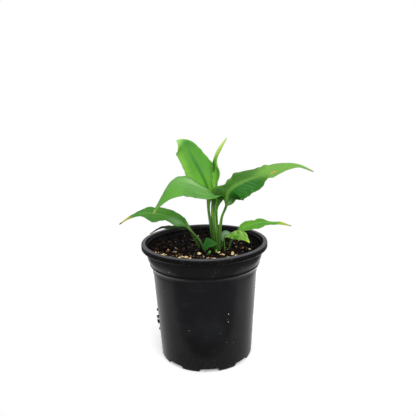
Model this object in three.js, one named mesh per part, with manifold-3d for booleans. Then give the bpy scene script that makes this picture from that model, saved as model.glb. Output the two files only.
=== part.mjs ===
// Young peace lily (Spathiphyllum) in a round nursery pot. Millimetres, +Z up.
// The origin is the centre of the pot's flat underside, on the pot's axis.
// Every leaf is one closed solid, from the foot of its stalk in the soil to its drip tip.
import * as THREE from 'three';
import { mergeVertices } from 'three/addons/utils/BufferGeometryUtils.js';
import Module from 'manifold-3d';

const wasm = await Module();
wasm.setup();

// Driving dimensions of the pot: a 4.5 inch standard round nursery pot.
const RIM_RADIUS = 56.6;
const POT_HEIGHT = 107;
const WALL = 1.2;
const FLOOR_THICKNESS = 1.6;
const FOOT_RADIUS = 40.8;
const LIP_DROP = 5;
const LIP_WIDTH = 3.4;
const POT_SIDES = 56;

// Collar and body of the pot, outside, as [radius, height] from the foot up.
const BODY_OUTLINE = [
  [FOOT_RADIUS, 0],
  [42.0, 1.2],
  [46.9, 77.5],
  [47.4, 80],
  [47.85, 84],
  [49.9, 87.5],
  [50.1, 89.6],
  [51.6, 94],
  [52.4, 100],
  [52.6, 104.4],
];

// Drainage notches, cut through the corner between the wall and the floor.
const NOTCH_COUNT = 8;
const NOTCH_HALF_WIDTH = 8.5;
const NOTCH_HEIGHT = 3;
const NOTCH_INNER_RADIUS = 37;
const NOTCH_FIRST_ANGLE = -87;

// Potting mix.
const CLEARANCE = 0.3;
const SOIL_LEVEL = 98;
const SOIL_RINGS = 11;
const SOIL_SIDES = 48;

// Leaves.
const BLADE_THICKNESS = 0.7;
const HALF_COLUMNS = 4;
const SMALL_HALF_COLUMNS = 3;
const STEM_FOOT = 90;

const COLOURS = {
  pot: new THREE.MeshStandardMaterial({ color: 0x232426, roughness: 0.42, metalness: 0 }),
  soil: new THREE.MeshStandardMaterial({ color: 0x2b211b, roughness: 0.95, metalness: 0 }),
  bright: new THREE.MeshStandardMaterial({ color: 0x5fae37, roughness: 0.5, metalness: 0 }),
  deep: new THREE.MeshStandardMaterial({ color: 0x35782f, roughness: 0.5, metalness: 0 }),
  mottled: new THREE.MeshStandardMaterial({ color: 0x8dbb4a, roughness: 0.5, metalness: 0 }),
};

const degrees = (angle) => (angle * Math.PI) / 180;
const mix = (a, b, t) => a + (b - a) * t;

// ---------------------------------------------------------------- solids

// A closed geometry as a solid that can be cut and joined.
function toSolid(geometry) {
  const bare = geometry.clone();
  bare.deleteAttribute('normal');
  bare.deleteAttribute('uv');
  const merged = mergeVertices(bare, 1e-4);
  return new wasm.Manifold(new wasm.Mesh({
    numProp: 3,
    vertProperties: new Float32Array(merged.attributes.position.array),
    triVerts: new Uint32Array(merged.index.array),
  }));
}

// A cut or joined solid as a geometry.
function toGeometry(solid) {
  const mesh = solid.getMesh();
  const geometry = new THREE.BufferGeometry();
  geometry.setAttribute('position', new THREE.BufferAttribute(new Float32Array(mesh.vertProperties), 3));
  geometry.setIndex(new THREE.BufferAttribute(new Uint32Array(mesh.triVerts), 1));
  geometry.computeVertexNormals();
  return geometry;
}

// A profile in [radius, height], turned round the upright axis.
function turned(profile, sides) {
  const points = profile.map(([radius, height]) => new THREE.Vector2(radius, height));
  return new THREE.LatheGeometry(points, sides).rotateX(Math.PI / 2);
}

function namedMesh(name, geometry, material) {
  const mesh = new THREE.Mesh(geometry, material.clone());
  mesh.name = name;
  return mesh;
}

// ---------------------------------------------------------------- pot

// Inside radius of the pot at a height, from the outline less the wall.
function insideRadius(height) {
  let upper = 1;
  while (upper < BODY_OUTLINE.length - 1 && BODY_OUTLINE[upper][1] < height) upper += 1;
  const [r0, z0] = BODY_OUTLINE[upper - 1];
  const [r1, z1] = BODY_OUTLINE[upper];
  return mix(r0, r1, (height - z0) / (z1 - z0)) - WALL;
}

// The rolled lip: out under the ring, down its skirt, round the outside and over the flat top.
function lipOutline() {
  const skirt = POT_HEIGHT - LIP_DROP;
  const inner = RIM_RADIUS - LIP_WIDTH;
  return [
    [RIM_RADIUS - 1.5, POT_HEIGHT - 2.6],
    [RIM_RADIUS - 1.4, skirt + 0.1],
    [RIM_RADIUS - 0.4, skirt],
    [RIM_RADIUS, skirt + 0.6],
    [RIM_RADIUS, POT_HEIGHT - 0.8],
    [RIM_RADIUS - 0.6, POT_HEIGHT],
    [inner, POT_HEIGHT],
    [inner - 0.7, POT_HEIGHT - 0.6],
    [inner - 2.3, POT_HEIGHT - 3.2],
  ];
}

// One drainage notch: a low arch, pushed through the corner of the pot from outside.
function notchCutter(angle) {
  const arch = new THREE.Shape();
  arch.moveTo(-NOTCH_HALF_WIDTH, -2);
  arch.lineTo(NOTCH_HALF_WIDTH, -2);
  arch.lineTo(NOTCH_HALF_WIDTH, NOTCH_HEIGHT - 2);
  arch.quadraticCurveTo(NOTCH_HALF_WIDTH, NOTCH_HEIGHT, NOTCH_HALF_WIDTH - 2.5, NOTCH_HEIGHT);
  arch.lineTo(-NOTCH_HALF_WIDTH + 2.5, NOTCH_HEIGHT);
  arch.quadraticCurveTo(-NOTCH_HALF_WIDTH, NOTCH_HEIGHT, -NOTCH_HALF_WIDTH, NOTCH_HEIGHT - 2);
  const depth = FOOT_RADIUS + 6 - NOTCH_INNER_RADIUS;
  const cutter = new THREE.ExtrudeGeometry(arch, { depth, bevelEnabled: false, curveSegments: 3 });
  cutter.rotateX(Math.PI / 2);
  cutter.translate(0, NOTCH_INNER_RADIUS + depth, 0);
  cutter.rotateZ(degrees(angle - 90));
  return toSolid(cutter);
}

function makePot() {
  const inside = BODY_OUTLINE.slice(1).reverse()
    .map(([radius, height]) => [radius - WALL, Math.max(height - 0.6, FLOOR_THICKNESS)]);
  const profile = [[0, 0], ...BODY_OUTLINE, ...lipOutline(), ...inside, [0, FLOOR_THICKNESS]];
  let pot = toSolid(turned(profile, POT_SIDES));
  for (let i = 0; i < NOTCH_COUNT; i += 1) {
    pot = pot.subtract(notchCutter(NOTCH_FIRST_ANGLE + (360 / NOTCH_COUNT) * i));
  }
  return toGeometry(pot);
}

// ---------------------------------------------------------------- leaves

// Uniform Catmull-Rom through the stations' own values; `place` runs from 0 to the last station.
function through(values, place) {
  const last = values.length - 1;
  const from = Math.min(Math.floor(place), last - 1);
  const t = place - from;
  const p1 = values[from];
  const p2 = values[from + 1];
  const p0 = from > 0 ? values[from - 1] : 2 * p1 - p2;
  const p3 = from < last - 1 ? values[from + 2] : 2 * p2 - p1;
  const slopeIn = (p2 - p0) / 2;
  const slopeOut = (p3 - p1) / 2;
  return (2 * p1 - 2 * p2 + slopeIn + slopeOut) * t ** 3
    + (-3 * p1 + 3 * p2 - 2 * slopeIn - slopeOut) * t ** 2 + slopeIn * t + p1;
}

// A station of a leaf: where its midrib passes, which way its upper face looks, the half widths to its
// left and right, how many degrees each half is lifted at the midrib and at the margin, and the midrib's radius.
function station(at, face, width, lift, rib) {
  return { at, face, width, lift, rib };
}

function sample(stations, place) {
  const value = (pick) => through(stations.map(pick), place);
  const triple = (pick) => new THREE.Vector3(...[0, 1, 2].map((axis) => value((s) => pick(s)[axis])));
  return {
    at: triple((s) => s.at),
    face: triple((s) => s.face),
    width: [0, 1].map((side) => Math.max(value((s) => s.width[side]), 0.3)),
    lift: [0, 1, 2, 3].map((part) => value((s) => s.lift[part])),
    rib: Math.max(value((s) => s.rib), 0.2),
  };
}

// Points of one half of a cross section, from the midrib out: [across, up, wave weight].
function halfSection(width, liftInner, liftOuter, columns) {
  const points = [[0, 0, 0]];
  for (let i = 1; i <= columns; i += 1) {
    const angle = degrees(mix(liftInner, liftOuter, (i - 0.5) / columns));
    const step = width / columns;
    const [across, up] = points[i - 1];
    points.push([across + step * Math.cos(angle), up + step * Math.sin(angle), (i / columns) ** 2]);
  }
  return points;
}

// One leaf as a closed skin: the upper face across, round the margin and back along the lower face.
// The lobes are how far the blade's base reaches back at the left and the right margin.
function leafGeometry({ stations, bladeFrom, rowsPerStation, columns, ripple, lobes }) {
  const rows = (stations.length - 1) * rowsPerStation;
  const rings = [];
  for (let row = 0; row <= rows; row += 1) {
    const place = row / rowsPerStation;
    const here = sample(stations, place);
    const before = sample(stations, Math.max(place - 0.05, 0)).at;
    const after = sample(stations, Math.min(place + 0.05, stations.length - 1)).at;
    const along = after.sub(before).normalize();
    const face = here.face.addScaledVector(along, -here.face.dot(along)).normalize();
    const across = new THREE.Vector3().crossVectors(along, face);
    const blade = THREE.MathUtils.clamp((place - bladeFrom) / (stations.length - 1 - bladeFrom), 0, 1);
    const swell = Math.sin(Math.PI * Math.min(blade * 1.15, 1)) ** 0.7;
    const lobe = Math.sin(Math.PI * THREE.MathUtils.clamp((place - bladeFrom) / 3, 0, 1));
    const halves = [0, 1].map((side) => {
      const section = halfSection(here.width[side], here.lift[side * 2], here.lift[side * 2 + 1], columns);
      const wave = ripple.height * swell * Math.sin(2 * Math.PI * (ripple.waves[side] * blade + ripple.phase[side]));
      const back = lobe * lobes[side];
      return section.map(([out, up, weight]) => [side === 0 ? -out : out, up + wave * weight, -back * weight]);
    });
    const line = [...halves[0].slice(1).reverse(), ...halves[1]];
    const placed = ([out, up, on], rise) => here.at.clone()
      .addScaledVector(across, out).addScaledVector(face, up + rise).addScaledVector(along, on);
    const ribDepth = ([out]) => 1.6 * here.rib * Math.sqrt(Math.max(0, 1 - (out / (here.rib * 1.02)) ** 2));
    const upper = line.map((point) => placed(point, BLADE_THICKNESS / 2));
    const lower = line.map((point) => placed(point, -BLADE_THICKNESS / 2 - ribDepth(point)));
    rings.push([...upper, ...lower.reverse()]);
  }
  return skin(rings, 2 * columns + 1);
}

// Joins rings of points into a closed skin. Opposite faces of the blade are split along the same diagonals.
function skin(rings, half) {
  const size = rings[0].length;
  const vertices = rings.flat().flatMap((point) => [point.x, point.y, point.z]);
  const faces = [];
  const quad = (a, b, c, d, flip) => {
    if (flip) faces.push(a, b, d, b, c, d);
    else faces.push(a, b, c, a, c, d);
  };
  for (let row = 0; row < rings.length - 1; row += 1) {
    for (let i = 0; i < size; i += 1) {
      const next = (i + 1) % size;
      const a = row * size + i;
      const b = row * size + next;
      quad(a, b, b + size, a + size, i >= half);
    }
  }
  const end = (rings.length - 1) * size;
  for (let i = 0; i < half - 1; i += 1) {
    const across = size - 1 - i;
    quad(i, across, across - 1, i + 1, false);
    quad(end + i, end + i + 1, end + across - 1, end + across, false);
  }
  const geometry = new THREE.BufferGeometry();
  geometry.setAttribute('position', new THREE.Float32BufferAttribute(vertices, 3));
  geometry.setIndex(faces);
  geometry.computeVertexNormals();
  return geometry;
}

const FLAT = [0, 0, 0, 0];

// A round length of stalk: both half widths and the rib share one radius.
const stalk = (at, face, radius) => station(at, face, [radius, radius], FLAT, radius);

const LEAVES = [
  {
    name: 'leaf_upright',
    material: COLOURS.bright,
    bladeFrom: 4,
    rowsPerStation: 3,
    columns: HALF_COLUMNS,
    ripple: { height: 0.7, waves: [2.5, 3], phase: [0.1, 0.4] },
    lobes: [0, 0],
    stations: [
      stalk([8.6, -0.6, STEM_FOOT], [1, -0.2, 0], 1.0),
      stalk([8.2, -1, 106], [1, -0.2, 0], 1.1),
      stalk([6.8, -0.6, 121], [1, -0.4, 0], 1.25),
      stalk([4.8, 1.2, 136], [0.8, -0.8, 0], 1.2),
      station([4, 3, 147], [0.3, -0.9, 0.1], [1.2, 3.4], [0, 0, 0, 0], 1.1),
      station([3.4, 4.5, 154], [0.2, -0.9, 0.2], [6.5, 8.5], [28, 18, 24, 10], 0.9),
      station([-0.6, 7, 164], [0.2, -0.9, 0.3], [13.8, 14.6], [20, 8, 14, 0], 0.8),
      station([-6, 10, 174], [0.2, -0.9, 0.35], [13, 13.2], [12, 4, 10, -8], 0.7),
      station([-10.8, 12.5, 183], [0.2, -0.9, 0.35], [11.7, 11], [6, 0, 6, -16], 0.6),
      station([-14.8, 13.5, 190], [0.1, -0.9, 0.45], [11.2, 8.2], [0, 0, 0, -20], 0.5),
      station([-18.6, 13.4, 193.6], [0.05, -0.85, 0.5], [6.8, 4], [0, 0, 0, -10], 0.4),
      station([-22.8, 13, 195.6], [0, -0.8, 0.6], [0.4, 0.4], FLAT, 0.3),
    ],
  },
  {
    name: 'leaf_spear',
    material: COLOURS.bright,
    bladeFrom: 4,
    rowsPerStation: 3,
    columns: HALF_COLUMNS,
    ripple: { height: 0.2, waves: [1.5, 2], phase: [0, 0.3] },
    lobes: [0, 0],
    stations: [
      stalk([10.6, -2.6, STEM_FOOT], [0.3, 1, 0], 1.0),
      stalk([10.4, -2.5, 106], [0.2, 1, 0], 1.0),
      stalk([10.0, -2, 121], [0, 1, 0], 1.1),
      stalk([9.6, -0.6, 136], [-0.3, 0.2, 0], 1.2),
      stalk([10, 1.5, 148], [-0.6, -0.7, 0], 1.0),
      station([12, 3, 158], [-0.6, -0.75, 0.1], [4, 5], [40, 70, 20, 75], 0.7),
      station([13.8, 4.5, 167], [-0.6, -0.75, 0.1], [5.5, 6.6], [45, 75, 15, 75], 0.6),
      station([12.2, 5.5, 178], [-0.6, -0.75, 0.1], [3.5, 3.2], [45, 80, 40, 80], 0.5),
      station([16.6, 6.5, 188], [-0.6, -0.7, 0.2], [2.4, 2.4], [40, 70, 40, 70], 0.4),
      station([21.6, 7, 197.3], [-0.6, -0.7, 0.2], [0.4, 0.4], FLAT, 0.3),
    ],
  },
  {
    name: 'leaf_arching',
    material: COLOURS.bright,
    bladeFrom: 3,
    rowsPerStation: 3,
    columns: HALF_COLUMNS,
    ripple: { height: 0.4, waves: [2, 2.5], phase: [0.2, 0.6] },
    lobes: [0, 0],
    stations: [
      station([11.1, -5.6, STEM_FOOT], [-0.1, 1, 0], [2.4, 2.4], [20, 30, 20, 30], 1.2),
      station([10.9, -5.8, 106], [-0.1, 1, 0], [3, 3.4], [30, 50, 30, 50], 1.3),
      station([10.4, -5.6, 121], [0, 1, 0], [3, 4.6], [30, 50, 30, 50], 1.3),
      station([10.3, -5.2, 135], [0.2, 0.9, 0], [2.4, 5.4], [30, 45, 30, 38], 1.4),
      station([11.4, -5.6, 141.5], [0.3, 0.85, 0.2], [3.7, 6.6], [35, 35, 30, 28], 1.1),
      station([11.6, -7.8, 147], [0.2, 0.4, 0.8], [7, 7.6], [20, 10, 25, 20], 1.0),
      station([6, -11, 151.2], [-0.1, -0.2, 1], [8.9, 8.6], [0, -20, 15, 10], 0.9),
      station([-2, -14.5, 155.2], [-0.1, -0.45, 1], [10.8, 10], [-5, -20, 6, 0], 0.8),
      station([-10.2, -17.5, 159], [-0.1, -0.5, 1], [11.7, 12.7], [-8, -25, 8, 0], 0.8),
      station([-19.4, -20.5, 161.4], [-0.2, -0.55, 1], [12, 12.7], [-12, -25, 0, -15], 0.7),
      station([-28.2, -23.5, 157.2], [-0.5, -0.6, 0.8], [10.4, 7.7], [-8, -20, -5, -25], 0.6),
      station([-35.2, -26, 148], [-0.7, -0.5, 0.6], [4.4, 4], [-5, -10, -5, -10], 0.5),
      station([-42, -28.5, 138.2], [-0.7, -0.5, 0.6], [0.4, 0.4], FLAT, 0.3),
    ],
  },
  {
    name: 'leaf_long',
    material: COLOURS.deep,
    bladeFrom: 4,
    rowsPerStation: 3,
    columns: HALF_COLUMNS,
    ripple: { height: 0.9, waves: [4.5, 5.5], phase: [0, 0.5] },
    lobes: [2, 3],
    stations: [
      stalk([12.9, -1.2, STEM_FOOT], [-1, 0.4, 0], 1.0),
      stalk([13.0, -1.2, 106], [-1, 0.3, 0], 1.1),
      stalk([13.5, -1.3, 118], [-1, 0.1, 0], 1.4),
      stalk([15.3, -2.6, 129], [-1, 0.2, 0.2], 1.15),
      stalk([18.9, -4.5, 138.4], [-0.9, 0, 0.3], 1.15),
      station([20.4, -6, 145.6], [-0.6, -0.7, 0.35], [2.6, 7.4], [20, 22, -46, -66], 1.0),
      station([21.3, -6.7, 149.4], [-0.5, -0.75, 0.3], [13.6, 12.6], [18, 24, -48, -70], 1.0),
      station([23.6, -7.6, 153.4], [-0.4, -0.62, 0.6], [8.2, 14.4], [10, 6, -40, -58], 0.9),
      station([26, -8.1, 155.7], [-0.45, -0.6, 0.6], [10.2, 13.9], [8, 0, -37, -56], 0.9),
      station([28.8, -8.6, 157.6], [-0.35, -0.6, 0.7], [13.8, 13.2], [6, -5, -35, -55], 0.9),
      station([37.5, -9.6, 162], [-0.3, -0.6, 0.7], [11.7, 13], [3, -8, -35, -55], 0.8),
      station([47, -10.6, 165.4], [-0.25, -0.6, 0.75], [11, 9.6], [0, -10, -35, -50], 0.8),
      station([52.6, -11.1, 167.5], [-0.22, -0.6, 0.78], [10.8, 5.5], [0, -11, -22, -35], 0.75),
      station([58, -11.6, 169.4], [-0.2, -0.6, 0.8], [9, 6], [0, -12, -5, -15], 0.7),
      station([69.5, -12.6, 172.8], [-0.1, -0.5, 0.85], [6.3, 4.2], [0, 0, -5, -10], 0.6),
      station([81.4, -13.6, 173.5], [0.05, -0.5, 0.85], [2.8, 1.3], [0, 0, -5, -5], 0.5),
      station([93.4, -15, 169.2], [0.2, -0.5, 0.85], [0.4, 0.4], FLAT, 0.3),
    ],
  },
  {
    name: 'leaf_low_left',
    material: COLOURS.deep,
    bladeFrom: 4,
    rowsPerStation: 3,
    columns: HALF_COLUMNS,
    ripple: { height: 0.7, waves: [3, 3.5], phase: [0.2, 0.1] },
    lobes: [0, 0],
    stations: [
      stalk([0.4, -1.2, STEM_FOOT], [0.3, 1, 0], 1.0),
      stalk([-1.2, -0.6, 100], [0.3, 1, 0.3], 1.0),
      stalk([-4.6, 0.4, 108], [0.2, 0.5, 0.8], 0.95),
      stalk([-10.4, 1.6, 114.4], [0.2, 0, 1], 0.9),
      station([-16, 2, 119.6], [0.3, -0.6, 0.75], [1.1, 3.6], [0, 0, 5, -5], 0.9),
      station([-22.6, 1.8, 124.6], [0.3, -0.7, 0.7], [6.8, 7.2], [15, 5, 5, -10], 0.8),
      station([-33.2, 1, 129.6], [0.2, -0.7, 0.7], [5.3, 8], [5, -5, 0, -15], 0.7),
      station([-44.2, 0, 132.4], [0.1, -0.7, 0.7], [8.6, 7.6], [0, -10, 0, -15], 0.6),
      station([-55.2, -1, 133], [-0.1, -0.6, 0.8], [4.2, 4.5], [0, -5, 0, -10], 0.5),
      station([-65.2, -2, 129.8], [-0.2, -0.5, 0.85], [1.6, 1.9], FLAT, 0.4),
      station([-75.3, -3, 123.8], [-0.2, -0.5, 0.85], [0.4, 0.4], FLAT, 0.3),
    ],
  },
  {
    name: 'leaf_shaded',
    material: COLOURS.deep,
    bladeFrom: 3,
    rowsPerStation: 3,
    columns: SMALL_HALF_COLUMNS,
    ripple: { height: 0.5, waves: [2.5, 2], phase: [0.3, 0.7] },
    lobes: [0, 0],
    stations: [
      stalk([-3.2, 2.6, STEM_FOOT], [0.3, -1, 0], 1.0),
      stalk([-5, 3.6, 100], [0.3, -0.6, 0.6], 1.0),
      stalk([-9, 5.4, 107], [0.2, 0, 1], 0.9),
      stalk([-12.6, 8, 114.6], [0.2, 0, 1], 1.1),
      station([-19.2, 9.4, 116], [0.1, -0.2, 1], [4, 3], [5, 0, 5, -5], 0.8),
      station([-31.2, 11.6, 117], [0, -0.1, 1], [4, 4.8], [0, -15, 0, -10], 0.6),
      station([-41.2, 13.4, 115.2], [-0.1, -0.1, 1], [1.8, 2.6], [0, -10, 0, -10], 0.5),
      station([-50.8, 14.6, 109.8], [-0.3, -0.1, 1], [0.4, 0.4], FLAT, 0.3),
    ],
  },
  {
    name: 'leaf_low_right',
    material: COLOURS.bright,
    bladeFrom: 3,
    rowsPerStation: 3,
    columns: HALF_COLUMNS,
    ripple: { height: 0.6, waves: [3, 3.5], phase: [0.6, 0.2] },
    lobes: [0, 0],
    stations: [
      stalk([21.8, 1.4, STEM_FOOT], [-0.3, 1, 0], 0.9),
      stalk([22.6, 1.6, 100], [-0.3, 1, 0.3], 0.9),
      stalk([25.4, 2, 107.5], [-0.5, 0.5, 0.8], 0.9),
      stalk([30, 3, 113.4], [-0.3, -0.4, 0.9], 0.9),
      station([36.1, 4.5, 116.6], [-0.2, -0.6, 0.8], [4.6, 3.8], [10, 0, -5, -10], 0.8),
      station([44.6, 6.2, 118.9], [-0.1, -0.65, 0.8], [5, 5.4], [0, -5, -5, -15], 0.7),
      station([52.6, 7.6, 119.9], [0, -0.65, 0.8], [4.4, 4.6], [0, -5, -5, -15], 0.6),
      station([60.8, 8.6, 119.2], [0, -0.6, 0.8], [1.7, 2], [0, -5, 0, -10], 0.5),
      station([70, 9, 118.6], [0.1, -0.5, 0.9], [1.8, 2], FLAT, 0.4),
      station([80, 9, 115.8], [0.2, -0.5, 0.9], [0.4, 0.4], FLAT, 0.3),
    ],
  },
  {
    name: 'leaf_mottled',
    material: COLOURS.mottled,
    bladeFrom: 3,
    rowsPerStation: 3,
    columns: SMALL_HALF_COLUMNS,
    ripple: { height: 0.4, waves: [2, 2], phase: [0.1, 0.6] },
    lobes: [0, 0],
    stations: [
      stalk([18.2, -5.2, STEM_FOOT], [-0.6, 0.6, 0], 0.6),
      stalk([17.8, -5.2, 99], [-0.6, 0.6, 0.3], 0.5),
      stalk([17.4, -5.2, 106], [-0.6, -0.2, 0.5], 0.5),
      stalk([18.2, -5.6, 110.2], [-0.3, -0.7, 0.5], 0.5),
      station([20, -6.5, 111.6], [-0.1, -0.85, 0.5], [0.9, 1], [0, -5, -5, -10], 0.6),
      station([23.8, -8, 113], [0, -0.8, 0.6], [2.9, 3.2], [0, -10, -10, -20], 0.6),
      station([28.9, -10.5, 114.1], [0, -0.75, 0.7], [4.3, 4.4], [0, -10, -15, -25], 0.55),
      station([33.6, -13, 113.8], [0.2, -0.7, 0.7], [4.8, 5], [0, -10, -10, -20], 0.5),
      station([37, -15, 111.2], [0.4, -0.6, 0.7], [2.2, 2.8], [0, -10, -5, -10], 0.4),
      station([39.4, -16.2, 108], [0.5, -0.6, 0.6], [0.4, 0.4], FLAT, 0.3),
    ],
  },
  {
    name: 'leaf_folded',
    material: COLOURS.deep,
    bladeFrom: 2,
    rowsPerStation: 3,
    columns: SMALL_HALF_COLUMNS,
    ripple: { height: 0.3, waves: [1.5, 2], phase: [0.3, 0] },
    lobes: [0, 0],
    stations: [
      stalk([1.6, -6.6, STEM_FOOT], [0, -1, 0], 0.8),
      stalk([1, -6.9, 96.5], [0, -1, 0], 0.8),
      station([0.6, -7.3, 99.3], [0, -1, 0.2], [1.2, 0.9], FLAT, 0.6),
      station([1.8, -8.2, 102], [-0.1, -1, 0.3], [4, 0.9], [4, 0, 0, 0], 0.6),
      station([4.4, -9.6, 104.1], [-0.1, -1, 0.35], [7.4, 1.5], [4, -4, 0, 0], 0.5),
      station([7.6, -11.4, 105.7], [0, -1, 0.4], [3.9, 1.8], [0, -4, 0, 0], 0.5),
      station([11, -12.8, 106.5], [0.1, -1, 0.4], [0.4, 0.4], FLAT, 0.3),
    ],
  },
  {
    name: 'leaf_back',
    material: COLOURS.deep,
    bladeFrom: 2,
    rowsPerStation: 3,
    columns: SMALL_HALF_COLUMNS,
    ripple: { height: 0.3, waves: [1.5, 2], phase: [0, 0.5] },
    lobes: [0, 0],
    stations: [
      stalk([15.6, 5.4, STEM_FOOT], [0, -1, 0], 0.8),
      stalk([16, 5.6, 98], [0, -1, 0.1], 0.8),
      stalk([16.4, 6, 103], [0, -1, 0.2], 0.7),
      station([17.4, 6.6, 108], [0, -0.9, 0.4], [2.4, 2.6], [10, 5, 10, 5], 0.6),
      station([19.6, 7.4, 110.6], [0.1, -0.8, 0.6], [3, 3], [0, -10, 0, -15], 0.5),
      station([22.4, 8, 110.2], [0.3, -0.7, 0.7], [2.2, 2.2], [0, -10, 0, -15], 0.4),
      station([24.8, 8.4, 108], [0.4, -0.7, 0.6], [0.4, 0.4], FLAT, 0.3),
    ],
  },
];

// A shoot tip still in its bract: a short leaning cone with a rounded shoulder.
function budGeometry({ at, radius, height, lean }) {
  const profile = [
    [0, STEM_FOOT],
    [radius * 0.7, STEM_FOOT],
    [radius, at[2]],
    [radius * 0.8, at[2] + height * 0.5],
    [radius * 0.35, at[2] + height * 0.88],
    [0, at[2] + height],
  ];
  const bud = turned(profile, 10);
  const position = bud.attributes.position;
  for (let i = 0; i < position.count; i += 1) {
    const rise = Math.max(position.getZ(i) - at[2], 0);
    position.setX(i, position.getX(i) + at[0] + lean[0] * rise);
    position.setY(i, position.getY(i) + at[1] + lean[1] * rise);
  }
  return bud;
}

const BUDS = [
  { name: 'bud_left', at: [4.2, -10.4, 96.4], radius: 1.9, height: 3.8, lean: [0.2, -0.2] },
  { name: 'bud_front', at: [10.8, -10.2, 96.2], radius: 1.5, height: 4.6, lean: [-0.1, 0.1] },
];

// ---------------------------------------------------------------- potting mix

// Height of the crumbs and hollows of the mix above its level, at a place.
function soilRelief(x, y) {
  const crumbs = Math.sin(0.52 * x + 0.31 * y + 0.6) * Math.sin(0.44 * y - 0.27 * x + 1.9)
    + 0.6 * Math.sin(0.93 * x - 0.71 * y + 2.2) * Math.sin(0.67 * x + 1.02 * y);
  const fromAxis = Math.hypot(x, y) / (FOOT_RADIUS + 8);
  return 0.8 * crumbs + 1.2 * fromAxis ** 4 - 0.6;
}

// The block of mix: its sides follow the pot's inside, and its top is raised in crumbs.
function soilBlock() {
  const foot = FLOOR_THICKNESS + CLEARANCE;
  const gap = CLEARANCE + 0.1;
  const heights = [foot, 3, ...BODY_OUTLINE.slice(2, -1).map(([, height]) => height), SOIL_LEVEL];
  const sides = heights.map((height) => [insideRadius(Math.max(height, 1.3)) - gap, height]);
  const edge = sides[sides.length - 1][0];
  const top = [];
  for (let ring = SOIL_RINGS - 1; ring >= 0; ring -= 1) top.push([(edge * ring) / SOIL_RINGS, SOIL_LEVEL]);
  const block = turned([[0, foot], ...sides, ...top], SOIL_SIDES);
  const position = block.attributes.position;
  for (let i = 0; i < position.count; i += 1) {
    if (position.getZ(i) < SOIL_LEVEL - 0.01) continue;
    position.setZ(i, SOIL_LEVEL + soilRelief(position.getX(i), position.getY(i)));
  }
  return toSolid(block);
}

// A plain upright hole in the mix for what stands in it.
function stemHole([x, y], radius) {
  const depth = SOIL_LEVEL + 6 - (STEM_FOOT - 0.8);
  const hole = new THREE.CylinderGeometry(radius, radius, depth, 16).rotateX(Math.PI / 2);
  hole.translate(x, y, STEM_FOOT - 0.8 + depth / 2);
  return toSolid(hole);
}

const STEM_HOLES = [
  { at: [11, -3.2], radius: 5.7 },
  { at: [-2.4, 1], radius: 5.6 },
  { at: [22.2, 1.6], radius: 2.3 },
  { at: [18.5, -5.3], radius: 1.6 },
  { at: [1.5, -6.8], radius: 1.8 },
  { at: [15.8, 5.5], radius: 1.7 },
  { at: [4.2, -10.4], radius: 2.5 },
  { at: [10.8, -10.2], radius: 2.1 },
];

function makeSoil() {
  let soil = soilBlock();
  for (const { at, radius } of STEM_HOLES) soil = soil.subtract(stemHole(at, radius));
  return toGeometry(soil);
}

// ---------------------------------------------------------------- the plant in its pot

const plant = new THREE.Group();
plant.add(namedMesh('pot', makePot(), COLOURS.pot));
plant.add(namedMesh('potting_mix', makeSoil(), COLOURS.soil));
for (const leaf of LEAVES) plant.add(namedMesh(leaf.name, leafGeometry(leaf), leaf.material));
for (const bud of BUDS) plant.add(namedMesh(bud.name, budGeometry(bud), COLOURS.bright));

export default plant;
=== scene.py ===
"""A young peace lily in a black nursery pot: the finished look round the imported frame.

Stations, outlines and places are written in millimetres, as they are measured, and turned to metres
where a mesh is made. The pot stands on z = 0, its axis is the Z axis, and -Y is the front.
"""
import logging
import math
import random
from dataclasses import dataclass
from enum import Enum

import bmesh
import bpy
from mathutils import Matrix, Vector, noise

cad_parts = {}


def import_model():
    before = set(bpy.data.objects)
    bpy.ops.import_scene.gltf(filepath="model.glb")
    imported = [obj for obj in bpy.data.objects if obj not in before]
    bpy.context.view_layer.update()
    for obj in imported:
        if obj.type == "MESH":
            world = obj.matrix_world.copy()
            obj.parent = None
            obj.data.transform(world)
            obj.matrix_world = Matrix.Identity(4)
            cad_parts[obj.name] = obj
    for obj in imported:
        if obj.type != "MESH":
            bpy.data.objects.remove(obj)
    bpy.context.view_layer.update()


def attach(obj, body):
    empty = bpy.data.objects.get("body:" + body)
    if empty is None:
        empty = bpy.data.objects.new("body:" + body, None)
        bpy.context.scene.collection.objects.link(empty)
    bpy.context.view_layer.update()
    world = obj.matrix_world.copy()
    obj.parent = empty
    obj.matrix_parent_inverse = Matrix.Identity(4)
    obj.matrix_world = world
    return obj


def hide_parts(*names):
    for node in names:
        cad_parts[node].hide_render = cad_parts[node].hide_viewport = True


LOG = logging.getLogger("peace_lily")
MM = 0.001
WELD = 1e-6
BODY = "root"

Pair = tuple[float, float]
Triple = tuple[float, float, float]
Quad = tuple[float, float, float, float]
Colour = Quad
Feed = bpy.types.Node | bpy.types.NodeSocket | float | Colour
Inputs = dict[str | int, Feed]
NodeKind = tuple[str, dict[str, str]]
Layer = tuple[Feed, Feed | str]
Ring = list[tuple[Vector, float, float]]


def linear(code: str) -> Colour:
    """Turns an sRGB hex colour into the linear colour that a shader takes.

    Args:
        code: The colour as "#rrggbb".

    Returns:
        Linear red, green, blue and an alpha of one.
    """
    parts = [int(code[i:i + 2], 16) / 255 for i in (1, 3, 5)]
    red, green, blue = (p / 12.92 if p <= 0.04045 else ((p + 0.055) / 1.055) ** 2.4 for p in parts)
    return red, green, blue, 1.0


def smooth(low: float, high: float, value: float) -> float:
    """Eases from 0 at low to 1 at high."""
    t = min(max((value - low) / (high - low), 0.0), 1.0)
    return t * t * (3 - 2 * t)


# ------------------------------------------------------------------ shader nodes

# Kinds of node with a setting that many share: an eased Map Range, and the sums of a Math node.
EASED = ("MapRange", {"interpolation_type": "SMOOTHSTEP"})
PLUS, LESS, TIMES, OVER, LARGER = (
    ("Math", {"operation": name}) for name in ("ADD", "SUBTRACT", "MULTIPLY", "DIVIDE", "MAXIMUM"))


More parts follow.
